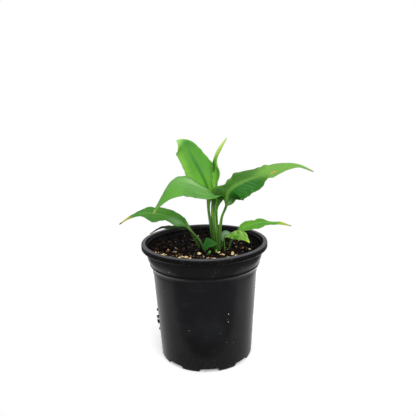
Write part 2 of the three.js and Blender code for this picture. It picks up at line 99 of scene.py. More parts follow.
def add_node(tree: bpy.types.NodeTree, kind: str | NodeKind, *feeds: Feed | Inputs,
             **settings: object) -> bpy.types.Node:
    """Adds a node, sets it up and joins what feeds it.

    Args:
        tree: The node tree that takes the node.
        kind: Blender's class name of the node, without its "ShaderNode", alone or with its settings.
        *feeds: What its inputs get, in order, or a dict of them by name or number: a value, an output, or
            a node, which gives its first output.
        **settings: The node's own properties.

    Returns:
        The new node.
    """
    name, shared = (kind, {}) if isinstance(kind, str) else kind
    node = tree.nodes.new("ShaderNode" + name)
    for key, value in {**shared, **settings}.items():
        setattr(node, key, value)
    named = feeds[0].items() if feeds and isinstance(feeds[0], dict) else enumerate(feeds)
    for key, value in named:
        if isinstance(value, bpy.types.Node):
            value = value.outputs[0]
        if isinstance(value, bpy.types.NodeSocket):
            tree.links.new(value, node.inputs[key])
        else:
            node.inputs[key].default_value = value
    return node


def grain(vector: Feed, size_mm: float, detail: float) -> Inputs:
    """What feeds a noise texture whose cloudy features are about size_mm across."""
    return {"Vector": vector, "Scale": 1 / (size_mm * MM), "Detail": detail}


def relief(height: Feed, depth_mm: float, strength: float) -> Inputs:
    """What feeds a bump that tilts the surface as a height pattern of a real depth would."""
    return {"Strength": strength, "Distance": depth_mm * MM, "Height": height}


class Sheet:
    """A material being drawn."""

    def __init__(self, name: str) -> None:
        """Starts an empty material.

        Args:
            name: The material's name.
        """
        self.material = bpy.data.materials.new(name)
        self.material.use_nodes = True
        self.material.node_tree.nodes.clear()

    def add(self, kind: str | NodeKind, *feeds: Feed | Inputs, **settings: object) -> bpy.types.Node:
        """Adds a node to this material."""
        return add_node(self.material.node_tree, kind, *feeds, **settings)

    def paint(self, colour: Feed, *layers: Layer) -> Feed:
        """Lays colours over a first one, each as thickly as its mask says.

        Args:
            colour: The lowest colour.
            *layers: From the bottom up, each layer's mask from 0 to 1, and its colour, as sRGB hex or drawn.

        Returns:
            The colour that shows.
        """
        for mask, top in layers:
            over = linear(top) if isinstance(top, str) else top
            colour = self.add("Mix", {0: mask, 6: colour, 7: over}, data_type="RGBA").outputs[2]
        return colour

    def finish(self, inputs: Inputs) -> bpy.types.Material:
        """Closes the material with its surface shader.

        Args:
            inputs: What the surface shader's inputs get, by name.

        Returns:
            The finished material.
        """
        surface = self.add("BsdfPrincipled", inputs)
        self.add("OutputMaterial", {"Surface": surface})
        return self.material


# ------------------------------------------------------------------ finishes

# What each vertex of a leaf holds: its place along and across the blade, and the same two in millimetres.
READINGS = ("along", "across", "run_mm", "out_mm")


@dataclass(frozen=True)
class Spot:
    """A mark on a blade: where along and across it lies, how far it reaches, and its colour.

    A soft one is a cloud under the veins, and the others have ragged edges and lie over all else. Several of
    them are painted light, sheen and shade rather than marks of the leaf.
    """

    along: float
    across: float
    reach: Pair
    colour: str
    soft: bool = False


@dataclass(frozen=True)
class LeafFinish:
    """Living leaf tissue: a waxy skin over green cells, with sunken side veins that curve to the tip.

    The wax gives a broad, soft sheen, and the light that enters the flesh comes out a little yellower.
    Places along the blade run from 0 at its base to 1 at its tip.
    """

    name: str
    slot: str
    base: str
    light: str
    tip: str
    vein: str = "#3f8a30"
    midrib: str = "#2f6f26"
    margin: str = "#7cbb55"
    tip_from: float = 0.9
    tip_blend: float = 0.12
    burnt_tip: str | None = None
    under: str = "#4c8a3c"
    stalk: str = "#32701c"
    stalk_light: str = "#7fae45"
    foot: str = "#2c4f16"
    foot_mm: Pair = (134, 106)
    midrib_width: float = 0.9
    midrib_to: float = 1.0
    vein_spacing: float = 3.4
    vein_lean: float = 0.9
    vein_curve: float = 0.03
    vein_wobble: float = 7.0
    vein_depth: float = 0.35
    relief_mm: float = 0.12
    roughness: float = 0.42
    gloss: float = 0.3
    mottle: str | None = None
    # Painted light on a half that faces the light, and painted shade on one that hangs away from it.
    lit_left_half: str | None = None
    shaded_right_half: str | None = None
    half_to: float = 1.3
    # Marks of the leaf, and patches of painted light, sheen and shade.
    spots_and_painted_light: tuple[Spot, ...] = ()
    # Sizes of the skin's patterns. Real cells are far under 0.1 mm, so their grain is drawn as coarse as it
    # needs to show.
    cell_mm: float = 1.6
    mottle_mm: float = 3.2
    vein_break_mm: float = 7
    patch_mm: float = 14
    cloud_mm: float = 16

    def material(self, underside: bool) -> bpy.types.Material:
        """Draws the skin of one side of the leaf and its stalk.

        Args:
            underside: True for the paler, duller lower face, where the veins stand out.

        Returns:
            The finished material.
        """
        sheet = Sheet(self.name + ("_under" if underside else "_upper"))
        add = sheet.add
        read = (add("Attribute", attribute_name=name).outputs["Fac"] for name in READINGS)
        along, across, run, aside = read
        out = add("Math", aside, operation="ABSOLUTE")
        edge = add("Math", across, operation="ABSOLUTE")
        place = add("TexCoord").outputs["Object"]
        fine = add("TexNoise", grain(place, self.cell_mm, 2))
        broken = add(EASED, add("TexNoise", grain(place, self.vein_break_mm, 2)), 0.35, 0.7)
        wave = self.side_veins(sheet, run, out, place)

        crest = add(TIMES, add(EASED, wave, 0.2, 1.0), broken)
        line = add(TIMES, crest, add(EASED, edge, 0.98, 0.7))
        near = add(EASED, out, self.midrib_width, self.midrib_width * 0.15)
        rib = add(TIMES, near, add(EASED, along, self.midrib_to, self.midrib_to - 0.35))

        patches = self.patches(sheet, run, across, place)
        if underside:
            colour = sheet.paint(linear(self.under), (patches, self.base),
                                 (add(TIMES, line, 0.3), self.light),
                                 (add(TIMES, rib, 0.7), self.stalk_light))
        else:
            colour = sheet.paint(linear(self.base), (patches, self.light), *self.halves(sheet, along, across),
                                 *self.marks(sheet, True, along, across, fine),
                                 (add(TIMES, line, self.vein_depth), self.vein),
                                 (add(TIMES, rib, 0.85), self.midrib))
        if self.mottle:
            blotch = add("TexNoise", grain(place, self.mottle_mm, 4))
            colour = sheet.paint(colour, (add(EASED, blotch, 0.46, 0.58), self.mottle))
        tip_to = min(self.tip_from + self.tip_blend, 0.99)
        colour = sheet.paint(colour, (add(EASED, edge, 0.86, 1.0, 0.0, 0.55), self.margin),
                             (add(EASED, along, self.tip_from, tip_to), self.tip))
        if self.burnt_tip:
            colour = sheet.paint(colour, (add(EASED, along, 0.95, 0.975), self.burnt_tip))
        colour = sheet.paint(colour, *self.marks(sheet, False, along, across, fine))
        on_blade = add(EASED, along, -0.02, 0.1)
        colour = sheet.paint(self.stalk_stripes(sheet, along, across, place), (on_blade, colour))

        quilt = add(TIMES, wave, add(EASED, edge, 1.0, 0.75))
        bulge = add(TIMES, add(TIMES, quilt, broken), 0.7 if underside else -1.0)
        height = add(PLUS, bulge, add(TIMES, fine, 0.5))
        dullest = self.roughness + (0.2 if underside else 0.1)
        return sheet.finish({
            "Base Color": colour,
            "Roughness": add(EASED, fine, 0.3, 0.7, self.roughness, dullest),
            "Normal": add("Bump", relief(height, self.relief_mm, 0.8)),
            "IOR": 1.45,
            "Specular IOR Level": self.gloss,
            "Subsurface Weight": 0.12,
            "Subsurface Radius": (1.0, 1.0, 0.3),
            "Subsurface Scale": 0.8 * MM,
        })

    def side_veins(self, sheet: Sheet, run: Feed, out: Feed, place: Feed) -> Feed:
        """A wave from -1 to 1 across the side veins, which leave the midrib aslant and curve to the tip.

        Args:
            sheet: The material being drawn.
            run: Millimetres along the midrib.
            out: Millimetres out from the midrib.
            place: The object's own coordinates, in metres.

        Returns:
            The wave.
        """
        add = sheet.add
        curve = add(TIMES, add("Math", out, 2.0, operation="POWER"), self.vein_curve)
        lean = add(PLUS, add(TIMES, out, self.vein_lean), curve)
        wobble = add(TIMES, add("TexNoise", grain(place, self.cloud_mm, 1)), self.vein_wobble)
        at = add(PLUS, add(LESS, run, lean), wobble)
        phase = add(OVER, at, self.vein_spacing)
        return add("Math", add(TIMES, phase, math.tau), operation="SINE")

    def patches(self, sheet: Sheet, run: Feed, across: Feed, place: Feed) -> Feed:
        """Lighter clouds in the green, drawn out along the blade.

        Args:
            sheet: The material being drawn.
            run: Millimetres along the midrib.
            across: Share of the half width, from -1 to 1.
            place: The object's own coordinates, in metres.

        Returns:
            The clouds' mask, from 0 to 1.
        """
        add = sheet.add
        drawn_out = add("CombineXYZ", add(TIMES, run, 0.018 * MM), add(TIMES, across, 5 * MM))
        streak = add("TexNoise", grain(drawn_out, 0.9, 3))
        both = add(PLUS, add("TexNoise", grain(place, self.patch_mm, 2)), streak)
        return add(EASED, add(TIMES, both, 0.5), 0.36, 0.62)

    def halves(self, sheet: Sheet, along: Feed, across: Feed) -> list[Layer]:
        """The layers of painted light and painted shade on the left and the right half of the blade, up to
        half_to.

        Args:
            sheet: The material being drawn.
            along: Share of the blade's length, from its base.
            across: Share of the half width, from -1 to 1.

        Returns:
            The mask and the colour of each half that has a tint.
        """
        add = sheet.add
        layers = []
        for code, start, end in ((self.lit_left_half, 0.04, -0.08), (self.shaded_right_half, -0.04, 0.08)):
            if code:
                side = add(EASED, across, start, end, 0.0, 0.7)
                up_to = add(EASED, along, self.half_to, self.half_to - 0.15)
                layers.append((add(TIMES, side, up_to), code))
        return layers

    def marks(self, sheet: Sheet, soft: bool, along: Feed, across: Feed, fine: Feed) -> list[Layer]:
        """The layers of the soft marks, or of the ragged ones, painted light and shade among them."""
        return [(self.mark(sheet, spot, along, across, fine), spot.colour)
                for spot in self.spots_and_painted_light if spot.soft == soft]

    def mark(self, sheet: Sheet, spot: Spot, along: Feed, across: Feed, fine: Feed) -> Feed:
        """The mask of one mark: an oval with a soft or a ragged edge.

        Args:
            sheet: The material being drawn.
            spot: The mark.
            along: Share of the blade's length, from its base.
            across: Share of the half width, from -1 to 1.
            fine: The grain of the skin, which makes the edge ragged.

        Returns:
            The mask, from 0 to 1.
        """
        add = sheet.add
        squares = []
        for reading, middle, reach in zip((along, across), (spot.along, spot.across), spot.reach):
            away = add(OVER, add(LESS, reading, middle), reach)
            squares.append(add("Math", away, 2.0, operation="POWER"))
        far = add("Math", add(PLUS, *squares), operation="SQRT")
        if spot.soft:
            return add(EASED, far, 1.3, 0.2)
        rough = add(TIMES, add(LESS, fine, 0.5), 1.4)
        return add(EASED, add(PLUS, far, rough), 1.1, 0.6)

    def stalk_stripes(self, sheet: Sheet, along: Feed, across: Feed, place: Feed) -> Feed:
        """Pale lines that run up the stalk between its green ones, and darken towards the mix.

        Args:
            sheet: The material being drawn.
            along: Share of the blade's length, from its base.
            across: Share of the half width, from -1 to 1.
            place: The object's own coordinates, in metres.

        Returns:
            The stalk's colour.
        """
        add = sheet.add
        vector = add("CombineXYZ", add(TIMES, across, 2.6), add(TIMES, along, 1.6))
        stripe = add("TexNoise", {"Vector": vector, "Scale": 1.0, "Detail": 2.0})
        height = add(OVER, add("SeparateXYZ", place).outputs[2], MM)
        low = add(EASED, height, *self.foot_mm, 0.0, 0.85)
        striped = add(EASED, stripe, 0.45, 0.57)
        return sheet.paint(linear(self.stalk), (striped, self.stalk_light), (low, self.foot))


@dataclass(frozen=True)
class PotFinish:
    """Recycled polypropylene, injection moulded: near black, with a dull sheen, scratches and dried silt.

    Real scratches and silt are finer than 0.1 mm, so both are drawn as coarse as they need to show. The lip's
    lighter top is a painted highlight, and the lip's skirt, the bead under the collar and the low wall are
    darkened with painted shade.
    """

    name: str = "moulded_polypropylene"
    slot: str = "pot_plastic"
    base: str = "#19191b"
    worn: str = "#1f2023"
    # Painted shade for the lip's skirt, the bead and the low wall.
    shade: str = "#060606"
    scratched: str = "#4a4a4a"
    silt: str = "#57493a"
    # The lip's flat top, painted lighter as a highlight.
    lip_top_painted_highlight: str = "#47474c"
    gloss: float = 0.09
    # Heights of the collar, of the lip's flat top with its painted highlight, of the bead under the collar,
    # and of the low wall, where the bead and the low wall get painted shade.
    collar_mm: Pair = (86, 103)
    lip_mm: float = 106.2
    bead_mm: Quad = (84.5, 86.5, 91, 89)
    low_wall_mm: float = 60
    # Sizes of the patterns.
    silt_mm: float = 1.1
    scratch_mm: float = 1.3
    ring_mm: float = 1.6
    patch_mm: float = 13
    cloud_mm: float = 26

    def material(self) -> bpy.types.Material:
        """Draws the plastic.

        Returns:
            The finished material.
        """
        sheet = Sheet(self.name)
        add = sheet.add
        place = add("TexCoord").outputs["Object"]
        cloud = add("TexNoise", grain(place, self.cloud_mm, 4))
        fine = add("TexNoise", grain(place, self.silt_mm, 3))
        height = add(OVER, add("SeparateXYZ", place).outputs[2], MM)
        collar_top = self.collar_mm[1]
        # Where the lip's top takes its painted highlight.
        painted_highlight_on_top = add(EASED, height, self.lip_mm, self.lip_mm + 0.5)
        scratches = self.scratches(sheet, place, height)

        # Silt clings most round the foot and under the lip.
        low = add(EASED, height, 16, 0, 0.0, 0.5)
        under_lip = add(EASED, height, collar_top - 4, collar_top, 0.0, 0.4)
        often = add(PLUS, add(PLUS, low, under_lip), 0.12)
        silty = add(TIMES, add(EASED, fine, 0.58, 0.76), often)

        # The near black layer is painted shade, and the lip's lighter top is a painted highlight.
        colour = sheet.paint(linear(self.base), (add(EASED, cloud, 0.42, 0.66), self.worn),
                             (self.shaded(sheet, height), self.shade), (painted_highlight_on_top, self.lip_top_painted_highlight),
                             (add(TIMES, scratches, 0.45), self.scratched), (silty, self.silt))
        scored = add(PLUS, add(TIMES, fine, 0.5), add(TIMES, scratches, -1.0))
        matt = add(EASED, cloud, 0.3, 0.7, 0.2, 0.3)
        smoother = add(EASED, height, self.lip_mm, self.lip_mm + 0.5, 0.0, 0.1)
        return sheet.finish({
            "Base Color": colour,
            "Roughness": add(LESS, matt, smoother),
            "Normal": add("Bump", relief(scored, 0.05, 0.5)),
            "IOR": 1.49,
            "Specular IOR Level": self.gloss,
        })

    def shaded(self, sheet: Sheet, height: Feed) -> Feed:
        """Where shade is painted into the plastic: on the lip's skirt, on the bead and low on the wall.

        Args:
            sheet: The material being drawn.
            height: Height above the foot, in millimetres.

        Returns:
            The mask, from 0 to 1.
        """
        add = sheet.add
        collar_top = self.collar_mm[1]
        below_top = add(EASED, height, self.lip_mm, self.lip_mm - 0.4, 0.0, 0.75)
        skirt = add(TIMES, add(EASED, height, collar_top - 2, collar_top - 1), below_top)
        below_collar = add(EASED, height, *self.bead_mm[2:], 0.0, 0.6)
        bead = add(TIMES, add(EASED, height, *self.bead_mm[:2]), below_collar)
        low_wall = add(EASED, height, self.low_wall_mm, 0, 0.0, 0.8)
        return add(LARGER, add(LARGER, skirt, bead), low_wall)

    def scratches(self, sheet: Sheet, place: Feed, height: Feed) -> Feed:
        """Scratches, in patches: up the collar, where pots are pulled from trays, and round the wall.

        Args:
            sheet: The material being drawn.
            place: The object's own coordinates, in metres.
            height: Height above the foot, in millimetres.

        Returns:
            The mask, from 0 to 1.
        """
        add = sheet.add
        upright = add("Mapping", {"Vector": place, "Scale": (1.0, 1.0, 0.09)})
        level = add("Mapping", {"Vector": place, "Scale": (0.06, 0.06, 1.0)})
        on_collar = add(EASED, height, self.collar_mm[0], self.collar_mm[0] + 6)
        ups = add(EASED, add("TexNoise", grain(upright, self.scratch_mm, 3)), 0.56, 0.72)
        rounds = add(EASED, add("TexNoise", grain(level, self.ring_mm, 3)), 0.6, 0.74)
        patch = add(EASED, add("TexNoise", grain(place, self.patch_mm, 2)), 0.46, 0.66)
        both = add(PLUS, add(TIMES, ups, on_collar), add(TIMES, rounds, 0.4))
        return add(TIMES, both, patch)


@dataclass(frozen=True)
class CrumbFinish:
    """Loose matter of the potting mix, in two colours that each bit lies between by its own shade."""

    name: str
    slot: str
    dark: str
    light: str
    roughness: float = 0.9
    grain_mm: float = 0.8
    gloss: float = 0.08

    def material(self) -> bpy.types.Material:
        """Draws the crumb's skin.

        Returns:
            The finished material.
        """
        sheet = Sheet(self.name)
        add = sheet.add
        place = add("TexCoord").outputs["Object"]
        shade = add("Attribute", attribute_name="shade").outputs["Fac"]
        speck = add("TexNoise", grain(place, self.grain_mm, 4))
        mixed = add(PLUS, add(TIMES, shade, 0.75), add(TIMES, speck, 0.5))
        return sheet.finish({
            "Base Color": sheet.paint(linear(self.dark), (add(EASED, mixed, 0.25, 1.0), self.light)),
            "Roughness": self.roughness,
            "Normal": add("Bump", relief(speck, 0.35, 0.9)),
            "Specular IOR Level": self.gloss,
        })


# Bark ground to fines and kept damp: almost black, with a faint wet sheen.
BARK_FINES = CrumbFinish("damp_bark_fines", "potting_mix", "#030202", "#1c130d", 0.7)
# Composted bark: dark brown, duller and lighter where it is dry.
BARK = CrumbFinish("composted_bark", "potting_mix", "#060403", "#38261a", 0.65)
# Raw chipped softwood: straw to pale gold, matt, with a short grain.
WOOD_CHIP = CrumbFinish("raw_wood_chip", "potting_mix", "#7a5226", "#ecd09a", 0.75, 1.6)
# Pale bits, cold grey to white, that stand for glints of light on the wet mix: painted highlights, with a
# little real gloss.
PAINTED_GLINT_BITS = CrumbFinish("pale_bits_painted_glints", "potting_mix", "#2a2a2c", "#b4b8bc", 0.5, gloss=0.3)
# Dried silt: dark where it is thick, and chalky grey where lime has dried out of it.
DRIED_SILT = CrumbFinish("dried_silt", "potting_mix", "#0c0907", "#d8d2c6", 0.9)


# ------------------------------------------------------------------ meshes

def turned(profile: list[Pair], steps: int) -> bmesh.types.BMesh:
    """Turns an outline round the Z axis.

    Args:
        profile: Radius and height of each point, in millimetres, from the axis and back to it.
        steps: Facets round the axis.

    Returns:
        The closed mesh, in metres.
    """
    shape = bmesh.new()
    line = [shape.verts.new((radius * MM, 0, height * MM)) for radius, height in profile]
    edges = [shape.edges.new(pair) for pair in zip(line, line[1:])]
    bmesh.ops.spin(shape, geom=line + edges, cent=(0, 0, 0), axis=(0, 0, 1), angle=math.tau,
                   steps=steps, use_merge=True)
    bmesh.ops.remove_doubles(shape, verts=shape.verts, dist=WELD)
    bmesh.ops.recalc_face_normals(shape, faces=shape.faces)
    return shape


def to_object(name: str, shape: bmesh.types.BMesh, materials: list[bpy.types.Material]) -> bpy.types.Object:
    """Turns a finished bmesh into a smooth-shaded object at the origin.

    Args:
        name: The piece's name.
        shape: The mesh, in metres. It is freed.
        materials: The piece's materials, in slot order.

    Returns:
        The new object, linked to the scene.
    """
    mesh = bpy.data.meshes.new(name)
    shape.to_mesh(mesh)
    shape.free()
    for material in materials:
        mesh.materials.append(material)
    mesh.shade_smooth()
    piece = bpy.data.objects.new(name, mesh)
    bpy.context.scene.collection.objects.link(piece)
    return piece


def register(piece: bpy.types.Object, slot: str, node: str | None = None) -> None:
    """Sets a piece on the body that it rides on, and hides the solid that it stands for.

    Args:
        piece: The finished object.
        slot: The finish's name in the frame. Not used.
        node: The solid that the piece stands for, or None for one that only the scene has.
    """
    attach(piece, BODY)
    if node:
        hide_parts(node)
    LOG.info("made %s with %d faces", piece.name, len(piece.data.polygons))


# ------------------------------------------------------------------ leaves

# Lifts of a part with no fold, and the height in the mix where every stalk starts.
FLAT = (0, 0, 0, 0)
STEM_FOOT = 90

# How fast the margin's nicks, the frill's curl and the swelling between veins change, per millimetre.
RAGGED_PER_MM = 0.35
CURL_PER_MM = 0.06
QUILT_PER_MM = (0.16, -0.14, 0.2)
# The waves swell from both ends of the blade: how far before its tip they end, and how fast they fill.
SWELL_END = 1.15
SWELL_FILL = 0.7
# The nicks' height against the quilt's, how far the curl shifts the frill, and the right side's start in it.
NICKS = 2.2
CURL_SHIFT = 5.0
FRILL_SHIFT = 2.1
# How much closer the blade's columns stand by the midrib than by the margin.
CROWDING = 1.25

# The groove over the midrib, and the round rod under it, as shares of the rib's radius.
GROOVE_DEPTH = 0.35
GROOVE_MM = 0.8
ROD_DEPTH = 1.6
ROD_WIDTH = 1.02


@dataclass(frozen=True)
class Station:
    """One place along a leaf, from the foot of its stalk to its tip.

    Half widths are left and right of the midrib, and lifts are the degrees that each half is raised at the
    midrib and at the margin, left then right.
    """

    at: Triple
    face: Triple
    width: Pair
    lift: Quad
    rib: float


def stalk(at: Triple, face: Triple, radius: float) -> Station:
    """A round length of stalk, whose half widths and rib share one radius."""
    return Station(at, face, (radius, radius), FLAT, radius)


def tip(at: Triple, face: Triple) -> Station:
    """The point where both halves end."""
    return Station(at, face, (0.4, 0.4), FLAT, 0.3)


@dataclass(frozen=True)
class Ripple:
    """The margin's waves: their height, and how many run along each side and from where."""

    height: float
    waves: Pair
    phase: Pair


def through(values: tuple[float, ...], place: float) -> float:
    """A smooth curve through evenly spaced values, read at a place between them.

    Args:
        values: The values, evenly spaced.
        place: Where to read the curve, counted in values from 0.

    Returns:
        The curve's value there.
    """
    last = len(values) - 1
    start = min(int(place), last - 1)
    t = place - start
    p1, p2 = values[start], values[start + 1]
    p0 = values[start - 1] if start > 0 else 2 * p1 - p2
    p3 = values[start + 2] if start < last - 1 else 2 * p2 - p1
    slope_in, slope_out = (p2 - p0) / 2, (p3 - p1) / 2
    cubic = (2 * p1 - 2 * p2 + slope_in + slope_out) * t ** 3
    square = (-3 * p1 + 3 * p2 - 2 * slope_in - slope_out) * t ** 2
    return cubic + square + slope_in * t + p1


@dataclass
class Leaf:
    """One leaf, blade and stalk in one skin, finer than its solid but of the same form."""

    name: str
    finish: LeafFinish
    blade_from: int
    ripple: Ripple
    stations: list[Station]
    lobes: Pair = (0, 0)
    columns: int = 14
    rows_per_station: int = 12
    thickness: float = 0.5
    edge_thickness: float = 0.3
    crinkle: float = 0.22
    frill: float = 0.3
    frill_mm: float = 8.0
    seed: int = 0

    def sample(self, place: float) -> Station:
        """The leaf's form at a place between two stations.

        Args:
            place: The place, counted in stations from 0.

        Returns:
            The leaf's form there.
        """
        rows = [(*s.at, *s.face, *s.lift, *s.width, s.rib) for s in self.stations]
        *form, left, right, rib = (through(values, place) for values in zip(*rows))
        width = (max(left, 0.3), max(right, 0.3))
        return Station(tuple(form[:3]), tuple(form[3:6]), width, tuple(form[6:]), max(rib, 0.2))

    def half_section(self, here: Station, side: int, blade: float, run: float) -> list[Quad]:
        """One half of the cross section, from the midrib out.

        Args:
            here: The leaf's form at this place.
            side: 0 for the left half, 1 for the right.
            blade: How far along the blade this is, from 0 to 1.
            run: Distance along the midrib, in millimetres.

        Returns:
            For each column: across, up, the share of the half width, and the distance out.
        """
        width = here.width[side]
        inner, outer = here.lift[2 * side], here.lift[2 * side + 1]
        swell = math.sin(math.pi * min(blade * SWELL_END, 1.0)) ** SWELL_FILL
        turn = self.ripple.waves[side] * blade + self.ripple.phase[side]
        wave = self.ripple.height * swell * math.sin(math.tau * turn)
        nicks = noise.noise(Vector((run * RAGGED_PER_MM, side * 9.0, self.seed)))
        ragged = nicks * self.crinkle * NICKS * min(swell, 1.0)
        curl = noise.noise(Vector((run * CURL_PER_MM, side * 4.0, self.seed + 0.5)))
        beat = math.tau * run / self.frill_mm + FRILL_SHIFT * side + CURL_SHIFT * curl
        frill = self.frill * min(swell, 1.0) * math.sin(beat)
        along_mm, back_mm, out_mm = QUILT_PER_MM
        points = [(0.0, 0.0, 0.0, 0.0)]
        across = up = share_before = 0.0
        for i in range(1, self.columns + 1):
            share = (i / self.columns) ** (1.0 if blade <= 0 else CROWDING)
            angle = math.radians(inner + (outer - inner) * (share + share_before) / 2)
            step = (width + (ragged + 0.7 * frill * share) * (blade > 0)) * (share - share_before)
            across += step * math.cos(angle)
            up += step * math.sin(angle)
            share_before = share
            out = width * share
            skin = Vector((run * along_mm + out * back_mm, out * out_mm, side * 5.0 + self.seed))
            quilt = self.crinkle * swell * noise.noise(skin)
            points.append((across, up + wave * share ** 2 + frill * share ** 3 + quilt * share, share, out))
        return points

    def ring(self, place: float, run: float) -> Ring:
        """The closed line round the leaf at a place: over the upper face, then back under the lower one.

        Args:
            place: The place between the stations.
            run: Distance along the midrib, in millimetres.

        Returns:
            For each point: where it is in millimetres, its share across from -1 to 1, and its distance out.
        """
        last = len(self.stations) - 1
        here = self.sample(place)
        before = Vector(self.sample(max(place - 0.05, 0)).at)
        after = Vector(self.sample(min(place + 0.05, last)).at)
        along = (after - before).normalized()
        face = Vector(here.face)
        face = (face - along * face.dot(along)).normalized()
        across = along.cross(face)
        blade = min(max((place - self.blade_from) / (last - self.blade_from), 0.0), 1.0)
        left, right = (self.half_section(here, side, blade, run) for side in (0, 1))
        line = [(-a, u, -s, -o) for a, u, s, o in reversed(left[1:])] + right
        reach = math.sin(math.pi * min(max((place - self.blade_from) / 3, 0.0), 1.0))
        grown = smooth(0.0, 0.12, blade)
        upper, lower = [], []
        for out, up, share, distance in line:
            half = (self.thickness + (self.edge_thickness - self.thickness) * share ** 2) / 2
            channel = GROOVE_DEPTH * here.rib * math.exp(-(distance / GROOVE_MM) ** 2) * (0.4 + 0.6 * grown)
            rod = ROD_DEPTH * here.rib * math.sqrt(max(0.0, 1 - (out / (here.rib * ROD_WIDTH)) ** 2))
            back = reach * self.lobes[share > 0] * share ** 2
            centre = Vector(here.at) + across * out - along * back
            upper.append((centre + face * (up + half - channel), share, distance))
            lower.append((centre + face * (up - half - rod), share, distance))
        return upper + lower[::-1]

    def rings(self) -> tuple[list[float], list[Ring]]:
        """The distance along the midrib and the line round the leaf, for each row of its mesh.

        Returns:
            The distances and the lines, from the stalk's foot to the tip.
        """
        runs, rings = [0.0], []
        for row in range((len(self.stations) - 1) * self.rows_per_station + 1):
            place = row / self.rows_per_station
            if row:
                before = self.sample(place - 1 / self.rows_per_station).at
                runs.append(runs[-1] + (Vector(self.sample(place).at) - Vector(before)).length)
            rings.append(self.ring(place, runs[-1]))
        return runs, rings

    def build(self) -> bpy.types.Object:
        """Makes the leaf's mesh and dresses it.

        Returns:
            The piece that stands for the leaf's solid.
        """
        runs, rings = self.rings()
        rows, size = len(rings) - 1, len(rings[0])
        blade_rows = len(self.stations) - 1 - self.blade_from
        shape = bmesh.new()
        bmesh.ops.create_grid(shape, x_segments=rows, y_segments=size, size=0.5)
        layers = [shape.verts.layers.float.new(name) for name in READINGS]
        under = shape.verts.layers.int.new("is_under")
        for vertex in shape.verts:
            row = round((vertex.co.x + 0.5) * rows)
            index = round((vertex.co.y + 0.5) * size) % size
            point, share, distance = rings[row][index]
            place = row / self.rows_per_station - self.blade_from
            vertex.co = point * MM
            along = place / blade_rows if place > 0 else place / self.blade_from
            for layer, value in zip(layers, (along, share, runs[row], distance)):
                vertex[layer] = value
            vertex[under] = int(index >= size // 2)
        for face in shape.faces:
            face.material_index = int(sum(v[under] for v in face.verts) > 2)
        bmesh.ops.remove_doubles(shape, verts=shape.verts, dist=WELD / 10)
        bmesh.ops.holes_fill(shape, edges=[e for e in shape.edges if e.is_boundary], sides=0)
        bmesh.ops.recalc_face_normals(shape, faces=shape.faces)
        piece = to_object(self.name, shape, [self.finish.material(False), self.finish.material(True)])
        register(piece, self.finish.slot, self.name)
        return piece


UPRIGHT = Leaf(
    "leaf_upright",
    # Painted light: the soft spot at the blade's base and the lighter left half. The dark midrib is painted
    # shade in its groove.
    LeafFinish("young_leaf_upright", "leaf_bright", base="#3a8212", light="#4c9416", vein="#367c14",
               midrib="#2a7020", margin="#68ac38", tip="#8cc45c", tip_from=0.76, tip_blend=0.2,
               midrib_width=2.1, midrib_to=0.72, vein_depth=0.38, relief_mm=0.08, lit_left_half="#4e8f18",
               spots_and_painted_light=(Spot(0.06, 0.0, (0.3, 1.8), "#62a424", soft=True),
                      Spot(0.55, -0.95, (0.4, 0.45), "#6aa62c", soft=True),
                      Spot(0.78, 0.35, (0.16, 0.4), "#347e1a", soft=True))),
    blade_from=4, ripple=Ripple(0.7, (2.5, 3), (0.1, 0.4)), seed=1,
    stations=[
        stalk((8.6, -0.6, STEM_FOOT), (1, -0.2, 0), 1.0),
        stalk((8.2, -1, 106), (1, -0.2, 0), 1.1),
        stalk((6.8, -0.6, 121), (1, -0.4, 0), 1.25),
        stalk((4.8, 1.2, 136), (0.8, -0.8, 0), 1.2),
        Station((4, 3, 147), (0.3, -0.9, 0.1), (1.2, 5.0), FLAT, 1.1),
        Station((3.4, 4.5, 154), (0.2, -0.9, 0.2), (6.5, 8.5), (28, 18, 24, 10), 0.9),
        Station((-0.6, 7, 164), (0.2, -0.9, 0.3), (13.8, 14.6), (20, 8, 14, 0), 0.8),
        Station((-6, 10, 174), (0.2, -0.9, 0.35), (13, 13.2), (12, 4, 10, -8), 0.7),
        Station((-10.8, 12.5, 183), (0.2, -0.9, 0.35), (11.7, 11), (6, 0, 6, -16), 0.6),
        Station((-14.8, 13.5, 190), (0.1, -0.9, 0.45), (11.2, 8.2), (0, 0, 0, -20), 0.5),
        Station((-18.6, 13.4, 193.6), (0.05, -0.85, 0.5), (6.8, 4), (0, 0, 0, -10), 0.4),
        tip((-22.8, 13, 195.6), (0, -0.8, 0.6)),
    ],
)

SPEAR = Leaf(
    "leaf_spear",
    # Its pale underside, which is the rolled leaf's outside, is painted light, and the dark ragged spot is
    # painted shade in the roll's opening.
    LeafFinish("new_leaf_rolled", "leaf_bright", base="#62ab30", light="#82c048", vein="#5a9f34",
               midrib="#6a9a50", margin="#9ccc5c", tip="#b0d264", tip_from=0.6, under="#8cc650",
               spots_and_painted_light=(Spot(0.52, -0.75, (0.11, 0.4), "#2c6a22"),)),
    blade_from=4, ripple=Ripple(0.2, (1.5, 2), (0, 0.3)), seed=2,
    stations=[
        stalk((10.6, -2.6, STEM_FOOT), (0.3, 1, 0), 1.0),
        stalk((10.4, -2.5, 106), (0.2, 1, 0), 1.0),
        stalk((10.0, -2, 121), (0, 1, 0), 1.1),
        stalk((9.6, -0.6, 136), (-0.3, 0.2, 0), 1.2),
        stalk((10, 1.5, 148), (-0.6, -0.7, 0), 1.0),
        Station((12, 3, 158), (-0.6, -0.75, 0.1), (4, 5), (40, 70, 20, 75), 0.7),
        Station((13.8, 4.5, 167), (-0.6, -0.75, 0.1), (5.5, 6.6), (45, 75, 15, 75), 0.6),
        Station((12.2, 5.5, 178), (-0.6, -0.75, 0.1), (3.5, 3.2), (45, 80, 40, 80), 0.5),
        Station((16.6, 6.5, 188), (-0.6, -0.7, 0.2), (2.4, 2.4), (40, 70, 40, 70), 0.4),
        tip((21.6, 7, 197.3), (-0.6, -0.7, 0.2)),
    ],
)

